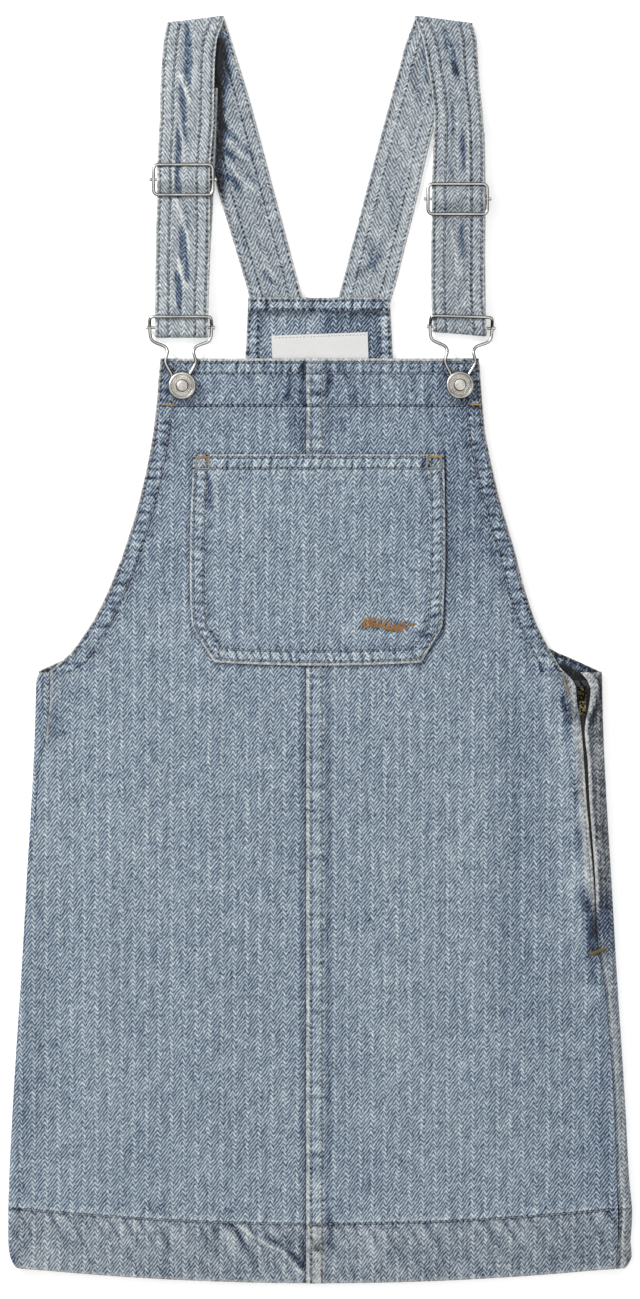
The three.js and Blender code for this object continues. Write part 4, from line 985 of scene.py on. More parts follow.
def denim(name, level=0.0, contrast=1.0, ridge=1.0, pucker=1.0, washed=0.0):
    """Washed herringbone denim: twill stripes, slubby warp, faded edges, stitch holes and puckers."""
    n = Nodes(name)
    uv = n.put("ShaderNodeUVMap", uv_map="weave").outputs["UV"]
    split = n.put("ShaderNodeSeparateXYZ")
    n.wire(n.stretch(uv, 1000, 1000), split.inputs[0])
    x, y = split.outputs[0], split.outputs[1]
    # Broad stripes lean one way and narrow ones the other
    stripe = n.math("FLOORED_MODULO", n.add(x, 400.0), 7.9)
    zigzag = n.math("MINIMUM", stripe, n.math("SUBTRACT", 12.0, stripe))
    slope = n.math("SUBTRACT", n.times(zigzag, 1 / 2.05), n.times(y, 1 / 2.85))
    wobble = n.times(n.noise(n.stretch(uv, 200, 200), 1.0, 1.0), 0.9)
    twill = n.math("SINE", n.times(n.add(slope, wobble), 2 * math.pi))
    narrow = n.band(n.math("ABSOLUTE", n.math("SUBTRACT", stripe, 6.95)), 1.3, 0.6)
    slub = n.noise(n.stretch(uv, 700, 55), 1.0, 3.0, 0.65)
    grain = n.noise(n.stretch(uv, 640, 500), 1.0, 3.0, 0.85)
    bits = n.noise(n.stretch(uv, 520, 330), 1.0, 2.0, 0.7)
    blot = n.noise(n.stretch(uv, 150, 90), 1.0, 2.0, 0.6)
    cloud = n.noise(n.stretch(uv, 26, 20), 1.0, 3.0, 0.55)
    edge, along, row = n.mark("edge"), n.mark("along"), n.mark("row")
    rope, fade, grey = n.mark("rope"), n.mark("fade"), n.mark("grey")
    # Drag lines across a hem
    place = n.put("ShaderNodeCombineXYZ")
    n.wire(n.times(n.add(along, n.times(edge, 0.4)), 0.30), place.inputs[0])
    n.wire(n.times(edge, 0.05), place.inputs[1])
    drag = n.math("SUBTRACT", n.noise(place.outputs[0], 1.0, 2.0, 0.6), 0.5)
    trim = n.band(edge, 24.0, 9.0)
    worn = n.times(n.band(edge, 2.6, 0.9), n.band(n.add(slub, grain), 0.7, 1.15, 0.45, 1.0))
    # Needle holes and the shadow beside the thread
    hole = n.band(n.math("SINE", n.times(along, 2 * math.pi / 3.4)), -0.5, 0.7, 0.35, 1.0)
    seam = n.times(n.band(row, 1.25, 0.4), hole)
    # The weave is faint where the dye is washed out or worn grey, and at an edge
    soft = n.times(n.band(n.math("ABSOLUTE", n.add(fade, 0.35)), 0.5, 1.9, 1.0, 0.5),
                   n.band(grey, 0.0, 1.0, 1.0, 0.5))
    lines = n.times(n.times(twill, n.add(0.45, n.times(bits, 1.1))),
                    n.times(n.times(soft, n.band(edge, 0.8, 2.8, 0.35, 1.0)), 0.225 * contrast))
    tone = n.add(
        0.505 + level,
        lines,
        n.times(n.times(narrow, n.add(0.3, bits)), 0.11 * ridge),
        n.times(n.math("SUBTRACT", slub, 0.5), 0.42 * contrast),
        n.times(n.math("SUBTRACT", grain, 0.5), 0.95 * contrast),
        n.times(n.math("SUBTRACT", bits, 0.5), 0.70),
        n.times(n.math("SUBTRACT", blot, 0.5), 0.32),
        n.times(n.math("SUBTRACT", cloud, 0.5), 0.14),
        n.times(fade, 0.19),
        n.times(n.times(rope, n.add(0.3, n.times(bits, 1.4))), 0.32),
        n.times(n.times(drag, trim), 0.45 * pucker),
        n.times(worn, 0.12),
        n.times(seam, -0.46),
    )
    dyed = n.ramp(tone, [
        (0.0, ink(28, 33, 48)), (0.2, ink(58, 71, 94)), (0.4, ink(101, 116, 135)), (0.58, ink(142, 156, 168)),
        (0.78, ink(178, 190, 197)), (1.0, ink(218, 224, 222)),
    ])
    # A dye-less ramp for worn grey cloth; its dark end is also the grey-black of the deepest painted shadow
    undyed_and_shadow = n.ramp(tone, [
        (0.0, ink(36, 37, 39)), (0.22, ink(74, 76, 78)), (0.5, ink(146, 148, 148)), (1.0, ink(224, 223, 218)),
    ])
    mixed = n.put("ShaderNodeMix", data_type="RGBA")
    faded = n.times(n.band(fade, 0.25, 1.3, washed, 0.75), n.band(fade, -1.4, -0.6))
    # Grey where worn, and grey-black where the painted shade is deepest
    worn_and_shadow_grey = n.math("MAXIMUM", n.times(grey, 0.85), n.band(fade, -1.8, -2.8, 0.0, 0.85))
    n.wire(n.math("MAXIMUM", n.math("MAXIMUM", n.times(worn, 0.95), faded), worn_and_shadow_grey), mixed.inputs[0])
    n.wire(dyed, mixed.inputs[6])
    n.wire(undyed_and_shadow, mixed.inputs[7])
    n.surface(Base_Color=mixed.outputs[2], Roughness=0.92, Specular_IOR_Level=0.18, Sheen_Weight=0.12,
              Sheen_Roughness=0.5)
    height = n.add(n.times(twill, 0.5), n.times(grain, 0.9), n.times(slub, 0.5),
                   n.times(n.times(drag, trim), pucker))
    n.surface(Normal=n.bump(height, 0.0003, 0.9))
    return n.mat


def thread(name, dark, light):
    """Twisted sewing thread."""
    n = Nodes(name)
    place = n.put("ShaderNodeTexCoord").outputs["Object"]
    twist = n.noise(place, 2600, 2.0, 0.6)
    spots = n.noise(place, 160, 2.0)
    mixed = n.add(n.times(twist, 0.6), n.times(spots, 0.6), -0.1)
    n.surface(Base_Color=n.ramp(mixed, [(0.2, dark), (0.8, light)]), Roughness=0.75,
              Normal=n.bump(twist, 0.0001, 0.6))
    return n.mat


def metal(name, dark, light, rough, scratch=0.5, scale=900, low=0.3, high=0.7):
    """Metal with fine wear, darker where its piece is marked with tarnish and painted shade."""
    n = Nodes(name)
    place = n.put("ShaderNodeTexCoord").outputs["Object"]
    wear = n.noise(place, scale, 3.0, 0.6)
    dull = n.noise(place, scale * 0.12, 2.0)
    bright = n.add(n.times(wear, 0.5), n.times(dull, 0.5), n.times(n.mark("tarnish_and_shade"), -1.0))
    n.surface(Base_Color=n.ramp(bright, [(0.0, ink(44, 44, 46)), (low, dark), (high, light)]), Metallic=1.0,
              Roughness=n.band(dull, 0.3, 0.7, rough * 0.8, rough * 1.35),
              Normal=n.bump(wear, 0.00004, scratch))
    return n.mat


def woven(name, dark, light, count):
    """A fine ribbed weave for tapes and the label."""
    n = Nodes(name)
    place = n.put("ShaderNodeTexCoord").outputs["Object"]
    rib = n.put("ShaderNodeTexWave", wave_type="BANDS", bands_direction="Y")
    n.wire(place, rib.inputs["Vector"])
    rib.inputs["Scale"].default_value = count
    rib.inputs["Distortion"].default_value = 1.2
    fuzz = n.noise(place, count * 6, 2.0)
    tone = n.add(n.times(rib.outputs["Fac"], 0.5), n.times(fuzz, 0.5))
    n.surface(Base_Color=n.ramp(tone, [(0.15, dark), (0.85, light)]), Roughness=0.85,
              Normal=n.bump(tone, 0.00012, 0.6))
    return n.mat


DENIM = denim("washed_denim")
DENIM_INSIDE = denim("denim_inside", 0.0, 1.1)
STRAP_DENIM = denim("strap_denim", 0.075, 0.85, 0.6, 0.25, 0.45)
TOPSTITCH = thread("topstitch_thread", ink(68, 74, 84), ink(160, 164, 164))
PALE_THREAD = thread("pale_tack_thread", ink(132, 126, 120), ink(206, 198, 186))
TAN_THREAD = thread("bar_tack_thread", ink(126, 96, 44), ink(204, 164, 88))
OLIVE_THREAD = thread("zip_tack_thread", ink(48, 42, 28), ink(142, 122, 70))
FRAYED_THREAD = thread("frayed_tack_thread", ink(74, 70, 56), ink(186, 172, 128))
SPRIG_THREAD = thread("sprig_thread", ink(104, 70, 36), ink(204, 146, 74))
WHITE_THREAD = thread("label_thread", ink(180, 180, 178), ink(226, 226, 224))
STEEL = metal("polished_wire", ink(176, 175, 172), ink(234, 233, 230), 0.26)
BUTTON_STEEL = metal("button_metal", ink(150, 147, 140), ink(236, 233, 225), 0.36, 1.2, 900)
BRASS = metal("antique_brass", ink(12, 11, 9), ink(172, 156, 118), 0.34, 1.0, 760, 0.49, 0.62)
TAPE = woven("zip_tape_weave", ink(30, 32, 36), ink(66, 70, 76), 500)
LABEL = woven("label_weave", ink(204, 204, 203), ink(222, 221, 220), 900)
COIL = woven("zip_coil", ink(40, 38, 36), ink(84, 78, 70), 700)


def ride(ob, mat, slot, *nodes, body="dress"):
    """Give a piece its material and body, and hide the solids that it replaces; the slot is not used."""
    ob.data.materials.clear()
    ob.data.materials.append(mat)
    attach(ob, body)
    if nodes:
        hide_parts(*nodes)
    return ob


# Cloth
front_right = front_panel("front_right_cloth", -1)
front_left = front_panel("front_left_cloth", 1)
back_right = back_panel("back_right_cloth", -1)
back_left = back_panel("back_left_cloth", 1)
hem_top = bib_hem("back_bib_hem")
facing_right = back_facing("back_armhole_hem_right", -1)
facing_left = back_facing("back_armhole_hem_left", 1)
pocket = chest_pocket("chest_pocket_cloth")
strap_right = Strap(STRAP_RIGHT, 101, CREASES_AND_SHADOWS_RIGHT)
strap_left = Strap(STRAP_LEFT, 111, CREASES_LEFT, 0.3, True)
cloth_right = strap_right.cloth("strap_right_cloth")
cloth_left = strap_left.cloth("strap_left_cloth")

ride(front_right, DENIM, "denim", "front_panel_right")
ride(front_left, DENIM, "denim", "front_panel_left")
ride(back_right, DENIM_INSIDE, "denim", "back_panel_right")
ride(back_left, DENIM_INSIDE, "denim", "back_panel_left")
ride(hem_top, DENIM_INSIDE, "denim", "back_top_hem")
ride(facing_right, DENIM_INSIDE, "denim")
ride(facing_left, DENIM_INSIDE, "denim")
ride(pocket, DENIM, "denim", "chest_pocket")
ride(cloth_right, STRAP_DENIM, "denim", "strap_right")
ride(cloth_left, STRAP_DENIM, "denim", "strap_left")


def lay_stitches(name, lines, mat, length=2.4, pitch=3.4, width=0.52):
    """One thread mesh along lines of (points, normals): a bent stitch is made once and copied."""
    deselect()
    bpy.ops.mesh.primitive_cylinder_add(vertices=6, radius=1, depth=2, end_fill_type="TRIFAN")
    stitch = bpy.context.object
    bpy.ops.object.mode_set(mode="EDIT")
    for z in (-0.72, 0.0, 0.72):
        bpy.ops.mesh.select_all(action="SELECT")
        bpy.ops.mesh.bisect(plane_co=(0, 0, z), plane_no=(0, 0, 1))
    bpy.ops.object.mode_set(mode="OBJECT")
    me = stitch.data
    base = np.array([v.co[:] for v in me.vertices])
    faces = [list(p.vertices) for p in me.polygons]
    t = base[:, 2]
    thin = np.where(np.abs(t) > 0.9, 0.55, 1.0)
    verts, polys = [], []
    for pts, normals in lines:
        pts, normals = np.asarray(pts, float), np.asarray(normals, float)
        way = np.concatenate([[0], np.cumsum(np.linalg.norm(np.diff(pts, axis=0), axis=1))])
        count = max(1, int(way[-1] / pitch))
        for m in range(count):
            c = (m + 0.5) * way[-1] / count
            a, b = c - length / 2, c + length / 2
            pa = np.array([np.interp(a, way, pts[:, k]) for k in range(3)])
            pb = np.array([np.interp(b, way, pts[:, k]) for k in range(3)])
            pc = np.array([np.interp(c, way, pts[:, k]) for k in range(3)])
            nn = np.array([np.interp(c, way, normals[:, k]) for k in range(3)])
            run = pb - pa
            size = np.linalg.norm(run)
            if size < 1e-6:
                continue
            run /= size
            nn = nn - run * nn.dot(run)
            nn /= np.linalg.norm(nn)
            side = np.cross(run, nn)
            h = 0.26 - 0.5 * t**2
            p = (pc + np.outer(t * size / 2, run) + np.outer(base[:, 0] * width * thin, side)
                 + np.outer(base[:, 1] * 0.28 * thin + h, nn))
            first = len(verts) * len(base)
            verts.append(p)
            polys += [[v + first for v in f] for f in faces]
    bpy.ops.object.delete()
    mesh = bpy.data.meshes.new(name)
    mesh.from_pydata((np.concatenate(verts) * MM).tolist(), [], polys)
    mesh.update()
    ob = linked(name, mesh)
    pick(ob)
    bpy.ops.object.mode_set(mode="EDIT")
    bpy.ops.mesh.select_all(action="SELECT")
    bpy.ops.mesh.normals_make_consistent(inside=False)
    bpy.ops.object.mode_set(mode="OBJECT")
    bpy.ops.object.shade_smooth()
    return ride(ob, mat, None)


def stitch_line(xyz, n):
    """Points and normals as rows."""
    return np.stack(xyz, 1), np.stack([np.broadcast_to(c, xyz[0].shape) for c in n], 1)


def front_line(sign, dist, base):
    """Points and normals of a stitch row at a distance from the side edge."""
    base = np.asarray(base, float)
    xyz, _, n = front_point(sign, np.ones_like(base), 0 * base, np.full_like(base, dist), base)
    return stitch_line(xyz, n)


def front_across(sign, base, xs):
    """Points and normals of a row across a front panel."""
    xs = np.asarray(xs, float)
    xyz, _, n = front_point(sign, 0 * xs, sign * (xs - centre_edge(sign)), 0 * xs, np.full_like(xs, base))
    return stitch_line(xyz, n)


def flat_line(pts):
    """A stitch line whose normals point up."""
    pts = np.asarray(pts, float)
    return pts, np.tile([0.0, 0.0, 1.0], (len(pts), 1))


def pocket_line(xs, vs):
    """A stitch line on the pocket."""
    xs, vs = np.asarray(xs, float), np.asarray(vs, float)
    xyz, _ = pocket_point(xs, vs)
    return flat_line(np.stack(xyz, 1))


arm_y = np.linspace(-9, 181, 130)
front_lines = [front_line(sign, row, arm_y) for sign in (-1, 1) for row in ARM_ROWS]
for row in BAND_ROWS + (BAND_FOOT,):
    reach = 92 if row == BAND_FOOT else 100
    front_lines.append(front_across(-1, BIB_TOP - row, np.linspace(-reach, -9.5, 60)))
    front_lines.append(front_across(1, BIB_TOP - row, np.linspace(-8, reach, 70)))
stitched = HEM_Y + HEM_ROW
front_lines.append(front_across(-1, stitched, np.linspace(-187, -9.5, 90)))
front_lines.append(front_across(1, stitched, np.linspace(-8, 183, 95)))
# The hem's row goes on over the back's turned edge
hem_base = np.full(10, stitched)
hem_s = np.linspace(float(front_end(1, hem_base[0])) + 1.4, FOLD_R * 1.25, 10)
hem_x, hem_z, hem_nx, hem_nz = section(1, hem_s, hem_base)
front_lines.append(stitch_line((hem_x, hem_base + hem_rise(hem_x, hem_base), hem_z), (hem_nx, 0.0, hem_nz)))
# Beside the zip
front_lines.append(front_line(1, 2.0, np.linspace(-166, -70, 60)))
front_lines.append(front_line(1, 6.6, np.linspace(-46, -16, 24)))
lay_stitches("front_topstitching", front_lines, TOPSTITCH)
seam_y = np.linspace(-399, 181, 240)
seam_lines = []
for row in SEAM_ROWS:
    xyz, _, n = front_point(1, 0 * seam_y, np.full_like(seam_y, row - FELL_EDGE), 0 * seam_y, seam_y)
    seam_lines.append(stitch_line(xyz, n))
lay_stitches("centre_seam_topstitching", seam_lines, TOPSTITCH)

pocket_lines = []
for row in POCKET_ROWS:
    vs = np.concatenate([np.linspace(POCKET_TOP - POCKET_LOW - 1.5, 26, 60), np.linspace(24, row, 16)])
    inset = row / np.where(vs < POCKET_CHAMFER, CHAMFER_SHEAR, 1.0)
    left = pocket_side(1, POCKET_LOW + vs) + inset
    right = pocket_side(2, POCKET_LOW + vs) - inset
    xs = np.concatenate([left, np.linspace(left[-1], right[-1], 60)[1:-1], right[::-1]])
    vv = np.concatenate([vs, np.full(58, row), vs[::-1]])
    pocket_lines.append(pocket_line(xs, vv))
for row in (2.2, 8.9):
    pocket_lines.append(pocket_line(np.linspace(-78, 78, 80), np.full(80, POCKET_TOP - POCKET_LOW - row)))
lay_stitches("pocket_topstitching", pocket_lines, TOPSTITCH)


def strap_stitches(strap, name, across=()):
    """Rows along both edges of a strap's outer face, and short rows across it."""
    lines = [flat_line([(x0, y, z), (x1, y, z)]) for x0, x1, y, z in across]
    keep = (strap.way > strap.shoulder - 3) & (strap.way < strap.loop + 30)
    k = np.where(keep)[0]
    for row in STRAP_ROWS:
        for far in (0, 1):
            u = np.where(far, strap.width[k] - row, row + 0 * strap.width[k])
            p, _, _ = strap.side(u, k, np.ones(len(k)))
            lines.append((p, strap.n[k]))
    return lay_stitches(name, lines, TOPSTITCH, width=0.4)


strap_stitches(strap_right, "strap_right_topstitching")
strap_stitches(strap_left, "strap_left_topstitching", [(73.6, 87.4, 321.0, 6.95), (95.6, 101.6, 321.4, 6.95)])


def tack(x0, y0, x1, y1, wide, z, seed):
    """A bar tack: short threads packed side by side across a line."""
    rng = np.random.default_rng(seed)
    way = np.array([x1 - x0, y1 - y0])
    size = np.linalg.norm(way)
    way /= size
    side = np.array([-way[1], way[0]]) * wide / 2
    lines = []
    for t in np.arange(0.2, size, 0.55):
        c = np.array([x0, y0]) + way * t
        a = side * rng.uniform(0.8, 1.1)
        lines.append(flat_line([(*(c - a), z), (*(c + a + way * 0.3), z + 0.1)]))
    return lines


def leaf(x, y, turn, size, z):
    """An embroidered leaf of slanted satin threads on both sides of its vein."""
    along = np.array([math.cos(turn), math.sin(turn)])
    lines = []
    for t in np.linspace(0.12, 0.95, 7):
        c = np.array([x, y]) + along * size * t
        half = 0.27 * size * math.sin(math.pi * t**0.8)
        for hand in (-1, 1):
            out = np.array([math.cos(turn + hand * 0.9), math.sin(turn + hand * 0.9)]) * half
            lines.append(flat_line([(*c, z + 0.15), (*(c + out), z)]))
    return lines


def cloth_z(x, y):
    """Height of the pocket at a point."""
    xyz, _ = pocket_point(np.array([float(x)]), np.array([y - POCKET_LOW]))
    return float(xyz[2][0])


# Tan bar tacks at the facing's ends and the pocket's corners
tack_lines = []
for x0, x1, y in ((-98.3, -91.0, 153.6), (95.4, 102.1, 153.9)):
    base_z = float(top_z(np.array(x0), np.array(y))) + 0.75
    tack_lines += tack(x0, y, x1, y - 0.4, 1.3, base_z, 3)
for x0, x1, y, wide in ((-76.8, -69.0, 120.3, 1.9), (-71.4, -68.8, 117.6, 1.2), (68.4, 76.6, 120.6, 1.6)):
    tack_lines += tack(x0, y, x1, y + 0.2, wide, cloth_z((x0 + x1) / 2, y) + 0.15, 5)
lay_stitches("bar_tacks", tack_lines, TAN_THREAD, 1.7, 40, 0.26)
lip_z = float(top_z(np.array(155.5), np.array(-23.0))) + 0.8
lay_stitches("zip_top_tack", tack(153.4, -17.0, 157.2, -28.6, 1.6, lip_z, 12), FRAYED_THREAD, 1.6, 40, 0.26)
lay_stitches("zip_end_tack", tack(170.1, -192.6, 179.8, -189.2, 2.7, 7.0, 9), OLIVE_THREAD, 2.7, 40, 0.32)
# The boxes at the pocket's corners are closed with paler rows
box_lines = []
for x0, x1, low in ((-77.4, -69.2, 113.2), (68.0, 77.0, 113.6)):
    for a, b, c, d in ((x0, low, x1, low), (x0, low, x0, low + 7.4), (x1, low, x1, low + 7.4)):
        box_lines += tack(a, b, c, d, 0.8, cloth_z((a + c) / 2, (b + d) / 2) + 0.1, 6)
lay_stitches("pocket_box_stitching", box_lines, PALE_THREAD, 1.0, 40, 0.24)

# A plain leafy sprig in place of the embroidered name
stem = [(26.0 + 30.5 * t, 14.6 + 1.6 * math.sin(t * 7.0) - 0.6 * t) for t in np.linspace(0, 1, 40)]
stem_z = cloth_z(42, 14) + 0.1
sprig_lines = []
for k in range(9):
    px, py = stem[2 + 4 * k]
    for hand in (-1, 1):
        sprig_lines += leaf(px, py, 0.25 + hand * (0.75 + 0.06 * (k % 3)), 4.7 - 0.12 * k, stem_z)
sprig_lines += leaf(*stem[-1], 0.1, 4.2, stem_z)
lay_stitches("sprig_leaves", sprig_lines, SPRIG_THREAD, 1.45, 40, 0.34)
lay_stitches("sprig_stem", [flat_line([(px, py, stem_z) for px, py in stem])], SPRIG_THREAD, 2.0, 1.7, 0.36)


def rod(name, points, radius, closed=False, nodes=(), soften=2):
    """A bent wire as a bevelled curve, made a mesh."""
    curve = bpy.data.curves.new(name, "CURVE")
    curve.dimensions = "3D"
    curve.bevel_depth = radius * MM
    curve.bevel_resolution = 4
    curve.use_fill_caps = True
    pts = [Vector(p) for p in points]
    # Corners are cut off again and again until they are round
    for _ in range(soften):
        cut = []
        n = len(pts)
        for i in range(n if closed else n - 1):
            a, b = pts[i], pts[(i + 1) % n]
            cut += [a.lerp(b, 0.25), a.lerp(b, 0.75)]
        if not closed:
            cut = [pts[0]] + cut + [pts[-1]]
        pts = cut
    spline = curve.splines.new("POLY")
    spline.points.add(len(pts) - 1)
    for p, co in zip(spline.points, pts):
        p.co = (*(co * MM), 1)
    spline.use_cyclic_u = closed
    pick(linked(name, curve))
    bpy.ops.object.convert(target="MESH")
    ob = bpy.context.object
    ob.name = ob.data.name = name
    # Painted shade: the wire is darker where its surface turns away from straight up
    up = np.abs(vectors(ob.data.vertex_normals, "vector")[:, 2])
    value(ob.data, "tarnish_and_shade", smooth((0.93 - up) / 0.45))
    bpy.ops.object.shade_smooth_by_angle(angle=math.radians(50))
    return ride(ob, STEEL, "strap_metal", *nodes)


def knob(name, at, radius, length):
    """A riveted bar end: a short turned pin along X with rounded edges."""
    deselect()
    bpy.ops.mesh.primitive_cylinder_add(vertices=20, radius=radius * MM, depth=length * MM,
                                        location=Vector(at) * MM, rotation=(0, math.pi / 2, 0))
    ob = bpy.context.object
    ob.name = ob.data.name = name
    bpy.ops.object.transform_apply(location=True, rotation=True, scale=True)
    soft = ob.modifiers.new("soft", "BEVEL")
    soft.width = 0.35 * MM
    soft.segments = 2
    bpy.ops.object.modifier_apply(modifier="soft")
    bpy.ops.object.shade_smooth_by_angle(angle=math.radians(50))
    return ride(ob, STEEL, "strap_metal")


def slider(side, x, y):
    """A rounded wire frame with its riveted bar."""
    hw, hh, r = 39.1 / 2 - 0.9, 20.8 / 2 - 0.9, 3.0
    ring = []
    for sx, sy, start in ((1, 1, 0), (-1, 1, 1), (-1, -1, 2), (1, -1, 3)):
        for f in np.linspace(0, 1, 7):
            a = (start + f) * math.pi / 2
            ring.append((x + sx * (hw - r) + r * math.cos(a), y + sy * (hh - r) + r * math.sin(a), RING_Z))
    rod(f"slider_{side}_wire", ring, 1.05, True, (f"slider_{side}",), 0)
    rod(f"slider_{side}_bar", [(x - 20.0, y, RING_Z), (x, y, RING_Z), (x + 20.0, y, RING_Z)], 0.8)
    for k, end in enumerate((-20.6, 20.6)):
        knob(f"slider_{side}_rivet_{k + 1}", (x + end, y, RING_Z), 1.15, 1.5)


# Half of the buckle's bent wire: across, along, height
BUCKLE = [
    (0, -6.6, 8.1), (9, -6.6, 8.1), (18.0, -6.6, 8.1), (19.3, -5.4, 7.6), (19.5, -2.2, 5.0),
    (19.5, 0, 3.6), (19.3, 4.6, 3.4), (18.6, 7.4, 3.4), (16.4, 9.4, 3.6), (12.6, 10.6, 3.9),
    (9.6, 12.0, 4.2), (8.4, 14.0, 4.8), (8.3, 16.4, 5.5), (9.0, 18.6, 5.8), (9.7, 20.8, 5.8),
    (9.2, 23.2, 5.8), (7.6, 26.2, 5.8), (5.6, 29.4, 5.8), (4.8, 33.4, 5.8), (4.6, 38, 5.8),
    (3.2, 41.9, 5.8), (0, 43.6, 5.8),
]


def buckle(side, x, y, turn):
    """One bent wire with its riveted bar, turned about the bar's middle."""
    def place(u, v, z):
        return (x + u * math.cos(turn) + v * math.sin(turn), y + u * math.sin(turn) - v * math.cos(turn), z)

    half = [p for p in BUCKLE if p[0] > 0]
    loop = [BUCKLE[0]] + half + [BUCKLE[-1]] + [(-u, v, z) for u, v, z in reversed(half)]
    rod(f"buckle_{side}_wire", [place(*p) for p in loop], 1.0, True, (f"buckle_{side}",), 1)
    rod(f"buckle_{side}_bar", [place(u, 0, BUCKLE_BAR_Z) for u in (-20.2, 0, 20.2)], 0.9)
    for k, end in enumerate((-20.9, 20.9)):
        knob(f"buckle_{side}_rivet_{k + 1}", place(end, 0, BUCKLE_BAR_Z), 1.35, 1.8)


slider("right", -85.5, 295.0)
slider("left", 87.2, 282.8)
buckle("right", -87.2, 202.2, 0)
buckle("left", 89.5, 202.3, -0.03)


def turned_piece(name, profile, at, steps, mat, slot, node):
    """A turned body: a disc extruded and widened or narrowed ring by ring, from its back to its face."""
    deselect()
    (r0, z0), rest = profile[0], profile[1:]
    bpy.ops.mesh.primitive_circle_add(vertices=steps, radius=r0 * MM, fill_type="TRIFAN",
                                      location=(Vector(at) + Vector((0, 0, z0))) * MM)
    ob = bpy.context.object
    ob.name = ob.data.name = name
    bpy.ops.object.transform_apply(location=True)
    bpy.ops.object.mode_set(mode="EDIT")
    bpy.ops.mesh.select_all(action="SELECT")
    for r, z in rest:
        bpy.ops.mesh.extrude_region_move(TRANSFORM_OT_translate={"value": (0, 0, (z - z0) * MM)})
        k = max(r, 0.02) / r0
        bpy.ops.transform.resize(value=(k, k, 1), center_override=Vector(at) * MM)
        r0, z0 = max(r, 0.02), z
    bpy.ops.mesh.select_all(action="SELECT")
    bpy.ops.mesh.remove_doubles(threshold=1e-6)
    bpy.ops.mesh.normals_make_consistent(inside=False)
    bpy.ops.object.mode_set(mode="OBJECT")
    co = vectors(ob.data.vertices, "co") / MM
    out = np.hypot(co[:, 0] - at[0], co[:, 1] - at[1])
    # Dark patina in the cap's grooves, and the cap darker past its rim's top
    tarnish_and_shade = 0.5 * bell(out - 3.8, 0.25) + 0.13 * bell(out - 5.6, 0.9) + 0.3 * bell(out - 7.0, 0.25)
    value(ob.data, "tarnish_and_shade", tarnish_and_shade + 0.5 * smooth((out - 8.3) / 0.4))
    bpy.ops.object.shade_smooth_by_angle(angle=math.radians(35))
    return ride(ob, mat, slot, node)


def button(side, x, y):
    """A jeans button: a turned cap with a ring of beads in its groove."""
    z = 2 * CLOTH + AIR + 0.8
    # Radius and height, from the shank over the rim to the middle
    profile = [
        (2, 0), (2, 2.5), (8.0, 2.5), (8.55, 2.7), (8.75, 3.2), (8.65, 3.8), (8.3, 4.2), (7.7, 4.45),
        (7.3, 4.42), (7.05, 4.2), (6.7, 4.12), (5.4, 4.2), (4.2, 4.3), (3.95, 4.1), (3.7, 4.05), (3.5, 4.25),
        (3.3, 4.6), (2.9, 4.75), (1.6, 4.82), (0.5, 4.85),
    ]
    turned_piece(f"button_{side}_cap", profile, (x, y, z), 56, BUTTON_STEEL, "button_metal", f"button_{side}")
    deselect()
    bpy.ops.mesh.primitive_uv_sphere_add(segments=8, ring_count=5, radius=0.5 * MM)
    bead = bpy.context.object
    bpy.ops.transform.resize(value=(1, 1, 0.5))
    bpy.ops.object.transform_apply(scale=True)
    beads = []
    for k in range(30):
        a = 2 * math.pi * k / 30
        pick(bead)
        bpy.ops.object.duplicate()
        copy = bpy.context.object
        copy.location = Vector((x + 5.6 * math.cos(a), y + 5.6 * math.sin(a), z + 4.17)) * MM
        beads.append(copy)
    bpy.data.objects.remove(bead)
    pick(beads[0])
    for b in beads:
        b.select_set(True)
    bpy.ops.object.transform_apply(location=True)
    bpy.ops.object.join()
    ob = bpy.context.object
    ob.name = ob.data.name = f"button_{side}_beads"
    bpy.ops.object.shade_smooth()
    ride(ob, BUTTON_STEEL, "button_metal")


button("right", -86.1, 165.4)
button("left", 88.7, 165.8)


def woven_label(name):
    """The blank label inside the back bib, stitched a little askew."""
    askew, half, row = 0.037, 11, 9.6
    us, vs = np.linspace(-30.3, 30.3, 50), np.linspace(-half, half, 18)

    def place(u, v):
        return (0.7 + u * math.cos(askew) - v * math.sin(askew),
                187.4 + u * math.sin(askew) + v * math.cos(askew))

    def lay(i, j):
        u, v = us[i], vs[j]
        z = 2.2 + 0.12 * np.sin(u / 6.0) * smooth((half - v) / 8) - 0.12 * bell(v - row, 0.8)
        return (*place(u, v), z), (u, v), {"edge": half - np.abs(v)}

    ob = cloth(name, len(us), len(vs), lay, 0.5)
    line = flat_line([(*place(u, row), 2.15) for u in np.linspace(-29, 29, 30)])
    lay_stitches("label_stitching", [line], WHITE_THREAD, 1.5, 2.2, 0.25)
    return ob


label = ride(woven_label("label_cloth"), LABEL, "label_cloth", "label")

# Zip: two tapes with their coil, slider and pull tab, which turns about an axis at this place
ZIP_X, ZIP_Y, PULL_Z = 165.7, -27.5, 7.35


def zip_middle(y):
    """The zip's centre line, halfway between its lips."""
    return edges(2, y) + lips(1, y) / 2


def zip_low(y):
    """Height of the tapes, just under the lower of the two lips."""
    x = edges(2, y)
    return np.minimum(np.minimum(top_z(x - 4.5, y), top_z(x, y)), top_z(x + lips(1, y), y)) - CLOTH - 0.4


def zip_tape(name, side, node):
    """One of the two tapes, from the coil to below its lip."""
    ys = np.linspace(-188, -20, 60)
    across = np.linspace(0.1, 1, 7)

    def lay(i, j):
        y = ys[j]
        m = zip_middle(y)
        out = edges(2, y) - 4 if side < 0 else edges(2, y) + lips(1, y) + 3.6
        x = m + (out - m) * across[i]
        return (x, y, zip_low(y)), (x, y), {"edge": np.abs(x - m)}

    return ride(cloth(name, len(across), len(ys), lay, 0.6), TAPE, "zip_tape", node)


